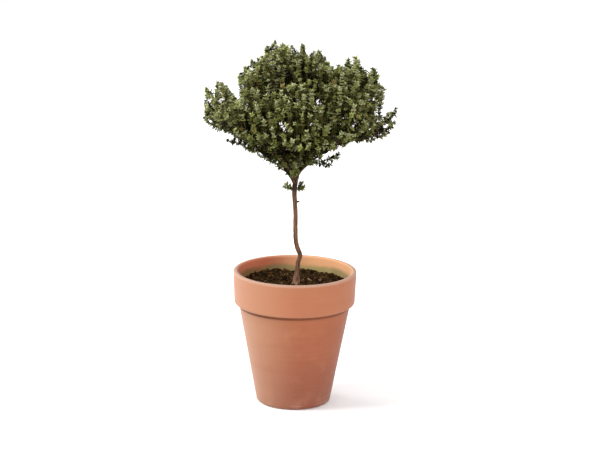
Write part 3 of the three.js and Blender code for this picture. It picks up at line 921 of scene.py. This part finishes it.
# the crown's outline from the front: right and height in the upright plane through the trunk
crownOutline = np.array([
    (-18, 341), (-28, 351), (-40, 360), (-51, 365), (-66, 372), (-78, 381), (-86, 387), (-86, 393),
    (-94, 399), (-104, 402), (-118, 402), (-130, 410), (-139, 427), (-139, 437), (-131, 448), (-136, 455),
    (-135, 464), (-130, 463), (-125, 452), (-118, 455), (-116, 472), (-108, 475), (-98, 461), (-84, 447),
    (-82, 457), (-83, 469), (-85, 478), (-84, 485), (-77, 484), (-75, 496), (-69, 497), (-67, 491),
    (-62, 505), (-50, 509), (-46, 522), (-40, 518), (-35, 524), (-31, 531), (-28, 530), (-23, 529),
    (-15, 521), (-9, 525), (-3, 511), (3, 527), (8, 526), (12, 514), (17, 511), (24, 518), (29, 520),
    (33, 511), (42, 507), (48, 498), (53, 496), (60, 499), (66, 495), (71, 507), (77, 500), (83, 507),
    (88, 499), (95, 493), (99, 479), (105, 496), (110, 495), (110, 481), (116, 470), (123, 473), (124, 455),
    (118, 447), (114, 431), (122, 428), (135, 438), (144, 437), (144, 428), (137, 420), (139, 413),
    (135, 406), (132, 401), (122, 399), (111, 395), (95, 392), (84, 390), (74, 386), (64, 382), (56, 378),
    (46, 372), (36, 367), (27, 362), (18, 356), (9, 349), (5, 339), (-6, 331), (-13, 335),
], float)

# where the sky shows through the crown: right, height and radius in the same plane
skyGaps = np.array([
    (29, 447, 3.2), (33, 442, 1.6), (-8, 445, 1.3), (-22, 412, 3.0), (-18, 405, 2.6), (-47, 391, 1.8),
    (86, 417, 1.6), (81, 411, 1.9), (54, 394, 2.2), (20, 413, 1.4), (-63, 447, 1.5), (-71, 439, 1.3),
    (109, 451, 0.8), (104, 448, 0.8), (-65, 492, 0.9), (14, 520, 1.6), (127, 412, 1.8), (114, 418, 1.4),
    (117, 409, 1.0), (104, 406, 0.8), (60, 383, 1.8), (48, 370, 2.0), (-83, 394, 1.0), (28, 365, 1.6),
    (-110, 445, 1.5), (-126, 445, 1.2), (-124, 416, 0.9), (-91, 409, 1.0), (-78, 466, 1.2), (3, 517, 1.0),
])

# single shoots that reach the outline's corners: right, back and height of each tip
strays = np.array([
    (-31, 0, 532), (-22, -6, 529), (-44, 4, 524), (-10, 0, 526), (-16, 6, 523), (5, 0, 529), (8, 6, 525),
    (-52, -4, 511), (-58, 4, 506), (-65, 0, 505), (-75, 0, 496), (-70, -8, 495), (-82, 2, 486),
    (-80, -10, 478), (-113, 2, 472), (-108, -4, 472), (-103, 4, 467), (-98, -6, 461), (-93, 2, 456),
    (-110, -8, 465), (-107, 2, 459), (-102, -8, 453), (-97, -12, 450), (-131, 0, 463), (-126, -6, 455),
    (-132, -2, 447), (-132, 4, 437), (-133, -6, 431), (-124, -10, 436), (-122, 4, 446), (-116, -8, 448),
    (-110, 8, 450), (-130, 0, 420), (-127, -4, 413), (-121, 2, 406), (-113, -4, 403), (-104, 4, 402),
    (-96, -4, 401), (13, -6, 513), (21, 2, 515), (28, -4, 521), (38, 0, 511), (33, 6, 511), (44, -4, 503),
    (47, 2, 497), (59, 4, 499), (66, -6, 497), (71, 0, 508), (76, -8, 501), (81, 2, 511), (86, -4, 502),
    (91, 0, 496), (96, 4, 489), (107, 0, 496), (104, -6, 490), (111, 4, 489), (108, -4, 482), (114, 4, 473),
    (121, 0, 469), (121, -6, 460), (122, 4, 454), (116, -6, 451), (-78, -4, 382), (-72, -6, 377),
    (-64, 2, 372), (-56, -8, 368), (-49, -2, 364), (-41, -8, 361), (-34, -4, 357), (-27, -8, 352),
    (-20, -2, 346), (-13, -8, 341), (-9, 2, 338), (-4, -12, 340), (4, -12, 343), (111, -2, 392),
    (102, 2, 393), (94, -4, 393), (87, -2, 391), (79, -6, 389), (72, 0, 386), (65, -6, 384), (58, -2, 379),
    (36, -8, 367), (128, -2, 401), (-43, 0, 525), (-46, 4, 521), (-32, 3, 529), (-29, -4, 526), (-20, 2, 527),
    (-11, -4, 524), (-64, 4, 502), (-85, -4, 481), (-132, 4, 459), (-128, 2, 451), (62, 4, 497), (73, 4, 504),
    (84, 0, 506), (94, -2, 493), (109, 0, 493), (113, 0, 486), (124, 0, 466), (118, 0, 472), (118, 4, 444),
    (-88, -4, 391), (-133, 4, 426), (24, 4, 518), (30, 4, 519), (49, 4, 497), (7, -4, 527), (20, -8, 355),
    (29, -6, 361), (24, -10, 359),
])

# thin sprigs that arch out of the crown: foot, bend and end of each, and the tips of its side shoots
sprigs = {
    "lowRight": ([(12, -6, 362), (34, -10, 356), (57, -8, 370)],
                 [(62, -8, 373), (61, -10, 366), (49, -8, 371), (53, -12, 362), (47, -10, 355), (41, -12, 358),
                  (36, -8, 355), (50, -8, 354), (44, -8, 352), (56, -12, 368), (32, -10, 357)]),
    "right": ([(100, -2, 413), (132, -2, 408), (141, 0, 437)],
              [(134, 0, 433), (144, -2, 429), (138, 4, 430), (126, 2, 425), (141, -4, 418), (131, 0, 421),
               (117, 0, 413), (118, 4, 424), (112, -4, 422)]),
    "farRight": ([(96, -2, 397), (118, -2, 400), (136, 0, 410)],
                 [(127, 2, 409), (127, -4, 402), (133, -4, 404), (117, 0, 398)]),
    "lowLeft": ([(-62, -4, 384), (-80, -6, 381), (-98, -6, 389)],
                [(-91, -6, 392), (-83, -10, 387), (-94, -2, 386), (-75, -8, 387), (-90, -6, 388)]),
}

# the box that the crown stays within, a little inside that of the solids
lowest, highest = np.array(cadBox[0]) / mm + 0.4, np.array(cadBox[1]) / mm - 0.4


# Where the eye sees points, in the upright plane through the trunk
def seenAt(points):
    points = np.asarray(points, float)
    eye = np.array([view["side"], view["height"]])
    share = view["away"] / (points[..., 1] + view["away"])
    return eye + (points[..., [0, 2]] - eye) * share[..., None]


# Whether points are seen within the crown's outline
def inOutline(points):
    seen = seenAt(points)
    x, z = seen[..., 0], seen[..., 1]
    found = np.zeros(x.shape, bool)
    for (x0, z0), (x1, z1) in zip(crownOutline, np.roll(crownOutline, -1, axis=0)):
        if z0 != z1:
            found ^= ((z0 > z) != (z1 > z)) & (x < x0 + (z - z0) * (x1 - x0) / (z1 - z0))
    return found


# Whether points are seen in a gap or nearer to one than a margin
def inGap(points, margin):
    seen = seenAt(points)
    found = np.zeros(seen.shape[:-1], bool)
    for right, height, radius in skyGaps:
        x, z = seen[..., 0] - right, seen[..., 1] - height
        angle = np.arctan2(z, x)
        ragged = 0.9 + 0.25 * np.sin(2 * angle + right) + 0.2 * np.sin(3 * angle + height)
        found |= np.hypot(x, z) < radius * ragged + margin
    return found


# A shoot as far as its leaves stay within the outline and the box of the solids
def withinOutline(line, room=0.0):
    ahead = line + unit(np.gradient(line, axis=0)) * (shoots["tipRoom"] + room)
    beyond = ~inOutline(ahead) | (ahead < lowest).any(axis=1) | (ahead > highest).any(axis=1)
    keep = int(np.argmax(np.append(beyond[shoots["sure"]:], True))) + shoots["sure"]
    return line[:keep] if keep >= shoots["fewest"] else None


# A shoot leaves its parent outwards and turns up, steeply at its tip
def shootLine(start, end, count):
    middle = start + (end - start) * (shoots["out"], shoots["out"], shoots["up"])
    steep = end[2] - shoots["upturn"] * math.hypot(*(end - start)[:2])
    middle[2] = min(middle[2], max(steep, start[2] - shoots["sag"]))
    return bow(start, middle, end, count)


# Picks tips that stand apart from all others, further up and down than sideways
def standApart(tips, taken, spacing):
    stretch = np.array([1, 1, 1 / shoots["upSpacing"]])
    chosen = []
    for tip in tips:
        near = (np.array(taken + [(0, 0, -999)]) - tip) * stretch
        if (near ** 2).sum(axis=1).min() > spacing ** 2:
            taken.append(tip)
            chosen.append(tip)
    return chosen


# Nearly the surface of a round mass with these half sizes
def massSurface(a, b, c, power=1.6):
    return 4 * math.pi * ((a * b) ** power / 3 + (a * c) ** power / 3 + (b * c) ** power / 3) ** (1 / power)


# One layer of a mass's shoots: tips that stand apart, each joined to the wood that suits it best
def layShoots(mass, shell, taken):
    least, most, spacing = shoots["shells"][shell]
    count = int(massSurface(*mass.half) * most ** 2 / shoots["tryEvery"] ** 2)
    index = np.arange(count)
    reach = least + (most - least) * fraction(mass.seed + 40 + shell, index) ** 2
    spread = spreadOver(count, mass.seed * 1.7 + shell) * reach[:, None]
    spread[:, 2] *= 1 + shoots["swell"] * np.maximum(spread[:, 2], 0)
    tips = mass.fromShares(spread)
    stray = np.stack([fraction(index + mass.seed, 53 + k) - 0.5 for k in range(3)], axis=1)
    tips = tips + 2 * shoots["stray"] * stray
    tips = tips[borderRoom(mass, tips) > -shoots["borderSlack"]]
    tips = standApart(tips[np.argsort(fraction(np.arange(len(tips)), mass.seed + shell))], taken, spacing)
    parents = np.vstack([mass.stem[2:]] + [line[2:] for line in mass.twigLines] + [mass.bough[16:]])
    sway = shoots["bend"] * np.sin(np.linspace(0, math.pi, shoots["points"]))[:, None]
    for i, tip in enumerate(tips):
        gap = tip - parents
        aside = np.hypot(*(gap[:, :2] - tip[:2] * shoots["lean"]).T)
        cost = aside * shoots["asideCost"] + np.abs(gap[:, 2] - shoots["rise"]) * shoots["riseCost"]
        cost = cost + np.maximum(0, shoots["leastRise"] - gap[:, 2]) * shoots["lowCost"]
        line = shootLine(parents[int(np.argmin(cost))], tip, shoots["points"])
        mass.shootLines.append((line + sway * (fraction(i, 51) - 0.5, fraction(i, 52) - 0.5, 0) * 2, shell))


# Short shoots along a bough, on all its sides
def layBoughShoots(mass):
    route, along = evenSteps(np.vstack([mass.bough, mass.stem[1:]]), shoots["boughGap"])
    for i in range(int(len(route) * 0.1), len(route) - 2):
        onward = unit(route[i + 1] - route[i - 1])
        turn = i * growth["golden"] * 2 + mass.seed
        side = unit(np.cross(onward, (0, 0, 1)))
        over = np.cross(side, onward)
        out = side * math.cos(turn) + over * math.sin(turn)
        length = shoots["boughLength"] * (0.5 + 0.5 * fraction(mass.seed, i)) * (0.75 + 0.35 * out[2])
        end = route[i] + (out * 0.75 + onward * 0.35 + np.array([0, 0, 0.45])) * length
        mass.shootLines.append((shootLine(route[i], end, 9), 0 if end[2] < shoots["litBelow"] else 2))


# Single shoots, each from the nearest wood below its tip
def layStrays():
    parents = np.vstack([np.vstack([mass.bough[8:], mass.stem] + mass.twigLines) for mass in masses])
    for tip in strays:
        gap = tip - parents
        cost = np.hypot(gap[:, 0], gap[:, 1]) + np.abs(gap[:, 2] - shoots["strayRise"]) * 0.5
        cost = cost + np.maximum(0, -gap[:, 2]) * 1.5
        start = parents[int(np.argmin(cost))]
        yield shootLine(start, tip - unit(tip - start) * shoots["tipRoom"], 11)


# A sprig and its short side shoots
def laySprig(line, tips):
    line = bow(*np.array(line, float), 14)
    yield line
    for tip in np.array(tips, float):
        nearest = int(np.argmin(np.linalg.norm(tip - line, axis=1)))
        start = line[max(nearest - 2, 0)]
        yield bow(start, (start + line[nearest]) / 2, tip - unit(tip - start) * shoots["tipRoom"], 8)


# Short shoots round the fork
def layForkShoots():
    for i in range(shoots["forkShoots"]):
        share = (i + 0.5) / shoots["forkShoots"]
        start = trunkPoint(shoots["forkFrom"] + share * (shoots["forkTo"] - shoots["forkFrom"]))
        turn = i * growth["golden"]
        reach = shoots["forkReach"] * (0.6 + 0.5 * share) * (0.75 + 0.5 * fraction(i, 57))
        way = np.array([math.cos(turn), math.sin(turn), 0.25 + 0.5 * fraction(i, 58)])
        yield shootLine(start, start + reach * way, 9)


for mass in masses:
    mass.shootLines = []
    mass.twigLines = [line for line in map(withinOutline, mass.twigLines) if line is not None]
for shell in range(len(shoots["shells"])):
    tipsTaken = []
    for mass in masses:
        layShoots(mass, shell, tipsTaken)
    print("shell", shell, "has", len(tipsTaken), "tips")
for mass in masses:
    layBoughShoots(mass)
laid = [pair for mass in masses for pair in mass.shootLines] + [(line, 0) for line in layForkShoots()]
grown = []
for i, (line, inner) in enumerate(laid):
    line = withinOutline(line, shoots["ragged"] * fraction(i, 59))
    if line is not None:
        grown.append((line, inner, "inner" if inner == 2 else "outer"))
grown += [(line, 1, "sprig") for sprig in sprigs.values() for line in laySprig(*sprig)]
grown += [(line, 0, "stray") for line in layStrays()]
shootLines = [line for line, inner, kind in grown]
print("shoots", len(shootLines))

# the two tufts on the bare trunk: place, height on the trunk, reach of each little shoot
tufts = {
    "left": {"height": 317.0, "ends": [(-17.0, -2.0, 321.0), (-15.0, 1.0, 324.0), (-13.0, -5.0, 326.0),
                                       (-12.0, -4.0, 320.0), (-9.0, -5.0, 323.0), (-10.0, 1.0, 319.0)]},
    "right": {"height": 316.0, "ends": [(11.0, -3.0, 322.0), (8.0, -2.0, 327.0), (9.0, -6.0, 319.0),
                                        (5.0, -6.0, 322.0), (6.0, 1.0, 325.0), (8.0, 2.0, 320.0)]},
}
tuftLines = [twigLine(trunkPoint(tuft["height"]), np.array(end), 6)
             for tuft in tufts.values() for end in tuft["ends"]]


# Lines as one mesh of edges, each thinning from its foot to its end
def linesMesh(name, lines, foot, end):
    points = np.vstack(lines)
    mesh = bpy.data.meshes.new(name)
    edges, start = [], 0
    for line in lines:
        edges += [(start + k, start + k + 1) for k in range(len(line) - 1)]
        start += len(line)
    mesh.from_pydata([tuple(p) for p in points * mm], edges, [])
    attribute = mesh.attributes.new("thickness", "FLOAT", "POINT")
    radii = [np.linspace(foot, end, len(line)) for line in lines]
    attribute.data.foreach_set("value", np.concatenate(radii) * mm)
    return addObject(name, mesh)


def paintTwig(tree, young, old):
    spot = tree.place()
    patches = tree.noise(spot, 220, 3)
    return {"Base Color": tree.mix(patches.rise(0.35, 0.65), young, old)}


twigBark = makeMaterial("twigBark", {"Roughness": 0.85},
                        lambda tree: paintTwig(tree, (0.150, 0.090, 0.050), (0.075, 0.042, 0.025)))
shootBark = makeMaterial("shootBark", {"Roughness": 0.7},
                         lambda tree: paintTwig(tree, (0.190, 0.150, 0.070), (0.150, 0.080, 0.045)))
massNodes = [f"mass_{mass.name}" for mass in masses]
twigLines = [line for mass in masses for line in mass.twigLines]
twigPiece = linesMesh("twigs", twigLines, shoots["twigFoot"], shoots["twigEnd"])
grow(twigPiece, twigTree, sides=6, thickness=1.0, bark=twigBark)
settlePiece(twigPiece, "bark", *massNodes)
clearLines = [line for line in shootLines if not inGap(line, -0.5).any()] + tuftLines
shootPiece = linesMesh("shoots", clearLines, shoots["shootFoot"], shoots["shootEnd"])
grow(shootPiece, twigTree, sides=3, thickness=1.0, bark=shootBark)
settlePiece(shootPiece, "bark", *massNodes, "sprout_left", "sprout_right")
print("twigs grown")


leaf = {
    "length": 4.8, "width": 2.25, "thick": 1.8, "tipNodes": 3, "outerNodes": 6,
    "turnJitter": 16.0, "spreadJitter": 12.0,
    "ownTint": 0.45,  # share of the whorls whose tint isn't their shoot's
    "bareBelow": 337.0, "shadyBelow": 353.0,  # the boughs are bare up to here, and their leaves are painted darker, as shade, up to there
    "rootRoom": 1.6, "endRoom": 1.1, "boxRoom": 0.8,  # what leaves keep from the gaps and from the box
}

# gap between nodes, size, most nodes and leafy length on each kind of shoot
leafing = {
    "outer": (4.3, 1.1, 10, 44.0), "inner": (6.4, 1.6, 6, 44.0), "sprig": (3.3, 1.35, 12, 60.0),
    "stray": (3.2, 1.35, 7, 22.0), "tuft": (2.6, 1.15, 4, 10.0),
}

# the leaves of one node: turn round the shoot, spread from it, size, kind
sideWhorl = [(0, 64, 1.0, 0), (180, 64, 1.0, 0), (50, 50, 0.74, 1), (-50, 50, 0.74, 1), (130, 50, 0.74, 1),
             (230, 50, 0.74, 1)]
tipWhorl = [(0, 62, 1.0, 0), (180, 62, 1.0, 0), (90, 46, 0.9, 0), (270, 46, 0.9, 0), (45, 22, 0.7, 1),
            (225, 22, 0.7, 1)]

# upper and under colour of each tint, and its share of the shoots at the tips, further in and inside
# the tints darken from the pale tips inwards: partly the older leaves' own darker green, mostly painted shade;
# shade and inner are near black, painted shade
tints = {
    "pale": ((0.470, 0.495, 0.235), (0.455, 0.470, 0.265), (0.28, 0.07, 0.0)),
    "fresh": ((0.350, 0.378, 0.110), (0.360, 0.380, 0.155), (0.25, 0.07, 0.0)),
    "olive": ((0.160, 0.172, 0.036), (0.182, 0.188, 0.065), (0.33, 0.28, 0.02)),
    "deep": ((0.050, 0.056, 0.008), (0.064, 0.068, 0.017), (0.11, 0.40, 0.12)),
    "straw": ((0.290, 0.225, 0.065), (0.310, 0.255, 0.105), (0.03, 0.03, 0.01)),
    "shade": ((0.019, 0.021, 0.002), (0.025, 0.027, 0.004), (0.0, 0.15, 0.39)),
    "inner": ((0.006, 0.006, 0.0005), (0.009, 0.009, 0.001), (0.0, 0.0, 0.46)),
}


# A leaf with a ridge above and a flat underside
def leafMesh(name, sides):
    outline = [(0, 0)] + [(-x, y) for x, y in sides] + [(0, 1)] + [(x, y) for x, y in reversed(sides)]
    points = [(x, y, -0.12 * y * y - 0.10 * abs(x)) for x, y in outline]
    points += [(0, 0.48, 0.05)]
    count = len(outline)
    faces = [(count, (k + 1) % count, k) for k in range(count)]
    faces += [(0, k, k + 1) for k in range(1, count - 1)]
    mesh = makeMesh(name, points, faces)
    below = mesh.attributes.new("below", "BOOLEAN", "FACE")
    below.data.foreach_set("value", [False] * count + [True] * (count - 2))
    return mesh


# The places, directions and sizes of all leaves on one shoot
def leavesOn(line, number, nodeGap, scale, most, leafy):
    steps = np.linalg.norm(np.diff(line, axis=0), axis=1)
    lengths = np.concatenate([[0], np.cumsum(steps)])
    total = lengths[-1]
    gap = nodeGap * (0.85 + 0.3 * fraction(number, 61))
    depths = [0.0, 0.45 * gap]
    while depths[-1] + gap < min(leafy, total * 0.92) and len(depths) < most:
        depths.append(depths[-1] + gap * (0.75 if len(depths) == 2 else 1))
    rows = []
    tangents = np.gradient(line, axis=0)
    for node, depth in enumerate(depths):
        at = total - depth
        root = np.array([np.interp(at, lengths, line[:, k]) for k in range(3)])
        axis = unit(np.array([np.interp(at, lengths, tangents[:, k]) for k in range(3)]))
        side = unit(np.cross(axis, (0.3, 0.9, 0.1)))
        other = np.cross(axis, side)
        first = 90 * node + 360 * fraction(number, 62)
        for k, (turn, spread, size, kind) in enumerate(tipWhorl if node == 0 else sideWhorl):
            chance = fraction(number * 1.3 + node * 7.1, 63 + k)
            turn = math.radians(first + turn + leaf["turnJitter"] * (2 * chance - 1))
            sway = 2 * fraction(number + k * 3.7, 64 + node) - 1
            spread = math.radians(spread + leaf["spreadJitter"] * sway)
            out = side * math.cos(turn) + other * math.sin(turn)
            length = leaf["length"] * scale * size * (0.8 + 0.4 * fraction(number + node, 65 + k))
            rows.append((*root, *(axis * math.cos(spread) + out * math.sin(spread)),
                         *(axis * math.sin(spread) - out * math.cos(spread)), length, kind, node))
    return rows


rows, owners = [], []
bearers = grown + [(line, 2, "inner") for line in twigLines] + [(line, 0, "tuft") for line in tuftLines]
innerness = np.array([inner for line, inner, kind in bearers])
for number, (line, inner, kind) in enumerate(bearers):
    made = leavesOn(line, number, *leafing[kind])
    rows += made
    owners += [number] * len(made)
rows, owners = np.array(rows), np.array(owners)
roots, pointing, facing = rows[:, 0:3], rows[:, 3:6], rows[:, 6:9]
lengths, kinds, nodes = rows[:, 9], rows[:, 10], rows[:, 11]
ends = roots + pointing * lengths[:, None]
keep = ~inGap(roots, leaf["rootRoom"]) & ~inGap(ends, leaf["endRoom"])
keep &= (ends > lowest + leaf["boxRoom"]).all(axis=1) & (ends < highest - leaf["boxRoom"]).all(axis=1)
keep &= inOutline(ends) | (innerness[owners] < 2)
onTrunk = np.array([kind == "tuft" for line, inner, kind in bearers])
keep &= onTrunk[owners] | (ends[:, 2] > leaf["bareBelow"] + 4 * fraction(owners, 76))
print("leaves", len(rows), "kept", int(keep.sum()))

leafSize = np.stack([lengths * leaf["width"] / leaf["length"], lengths,
                     lengths * leaf["thick"] / leaf["length"]], axis=1)
leafShapes = makeShapes("leaf", [
    leafMesh("leafFull", [(0.42, 0.24), (0.44, 0.56)]),
    leafMesh("leafSmall", [(0.5, 0.42)]),
])
# a tint is dealt by shoot or by whorl, and by how deep the leaf grows: 0 at the tips, 2 inside; the darker tints
# further in are painted shade
luck = fraction(owners * 1.1, 71)
own = fraction(owners * 3.1 + nodes * 7.7, 74) < leaf["ownTint"]
luck = np.where(own, fraction(owners * 2.3 + nodes * 5.1, 75), luck)
depth = (nodes >= leaf["tipNodes"]).astype(int) + (nodes >= leaf["outerNodes"] + np.round(fraction(owners, 72)))
# the leaves round the fork, under the crown, get the darker tints: painted shade
atFork = (ends[:, 2] < leaf["shadyBelow"]) & ~onTrunk[owners]
depth = np.minimum(depth + innerness[owners] + atFork, 2)


def leafFinish(name, colour, rough, gloss):
    return makeMaterial(name, {"Base Color": (*colour, 1), "Roughness": rough, "Specular IOR Level": gloss})


shareFrom = np.zeros(3)
for tint, (upperColour, underColour, shares) in tints.items():
    chosen = keep & (luck >= shareFrom[depth]) & (luck < shareFrom[depth] + np.array(shares)[depth])
    shareFrom += shares
    gloss = 0.2 if max(upperColour) > 0.1 else 0.05
    upper = leafFinish(f"{tint}Leaf", upperColour, 0.6, gloss)
    under = leafFinish(f"{tint}LeafUnder", underColour, 0.8, gloss / 2)
    cloud = pointCloud(f"{tint}Leaves", roots[chosen], pointing[chosen], facing[chosen],
                       leafSize[chosen], kinds[chosen])
    grow(cloud, sprayTree, shapes=leafShapes, size=1.0, upper=upper, under=under)
    settlePiece(cloud, "foliage", *massNodes, "sprout_left", "sprout_right")
clearShapes(leafShapes)
print("leaves grown")


# half size and drop of the floor in metres, and the light of the world
stage = {"half": 14, "drop": 0.0006, "world": 0.58}
floorFinish = {"Base Color": (0.96, 0.96, 0.96, 1), "Roughness": 0.9, "Specular IOR Level": 0.0}
floorMaterial = makeMaterial("paleFloor", floorFinish)
floorCorners = [(x * stage["half"], y * stage["half"], -stage["drop"])
                for x, y in ((-1, -1), (1, -1), (1, 1), (-1, 1))]
floorMesh = makeMesh("floor", floorCorners, [(0, 1, 2, 3)])
floorMesh.materials.append(floorMaterial)
floor = addObject("floor", floorMesh)

world = bpy.data.worlds.new("studio")
world.use_nodes = True
world.node_tree.nodes["Background"].inputs["Color"].default_value = (1, 1, 1, 1)
world.node_tree.nodes["Background"].inputs["Strength"].default_value = stage["world"]
bpy.context.scene.world = world
bpy.context.scene.view_settings.view_transform = "Standard"


def addLamp(name, place, aim, size, power):
    data = bpy.data.lights.new(name, "AREA")
    data.size = size
    data.energy = power
    lamp = bpy.data.objects.new(name, data)
    bpy.context.scene.collection.objects.link(lamp)
    lamp.location = place
    way = unit(np.array(aim) - np.array(place))
    lamp.rotation_mode = "QUATERNION"
    lamp.rotation_quaternion = Vector(way).to_track_quat("-Z", "Y")
    return lamp


# place, aim, size and power of each lamp
lamps = {
    "key": ((-3.3, -0.8, 3.3), (0, 0, 0.3), 1.6, 158.0),
    "front": ((1.6, -2.9, 1.9), (0, 0, 0.3), 1.6, 64.0),
    "side": ((-2.9, 2.0, 1.0), (0, 0, 0.15), 1.8, 66.0),
    "top": ((0.2, 0.3, 3.6), (0.1, 0.1, 0), 2.4, 38.0),
    "backdrop": ((0.9, 2.2, 3.0), (1.2, 5.5, 0), 2.4, 80.0),
}
for name, values in lamps.items():
    addLamp(name, *values)

cameraData = bpy.data.cameras.new("camera")
cameraData.lens = view["lens"]
cameraData.sensor_width = 36
cameraData.clip_end = 100
camera = bpy.data.objects.new("camera", cameraData)
bpy.context.scene.collection.objects.link(camera)
camera.location = (view["side"] * mm, -view["away"] * mm, view["height"] * mm)
tilt = Matrix.Rotation(math.radians(90 - view["down"]), 4, "X")
camera.rotation_euler = (tilt @ Matrix.Rotation(math.radians(view["roll"]), 4, "Z")).to_euler()
bpy.context.scene.camera = camera
print("stage set")
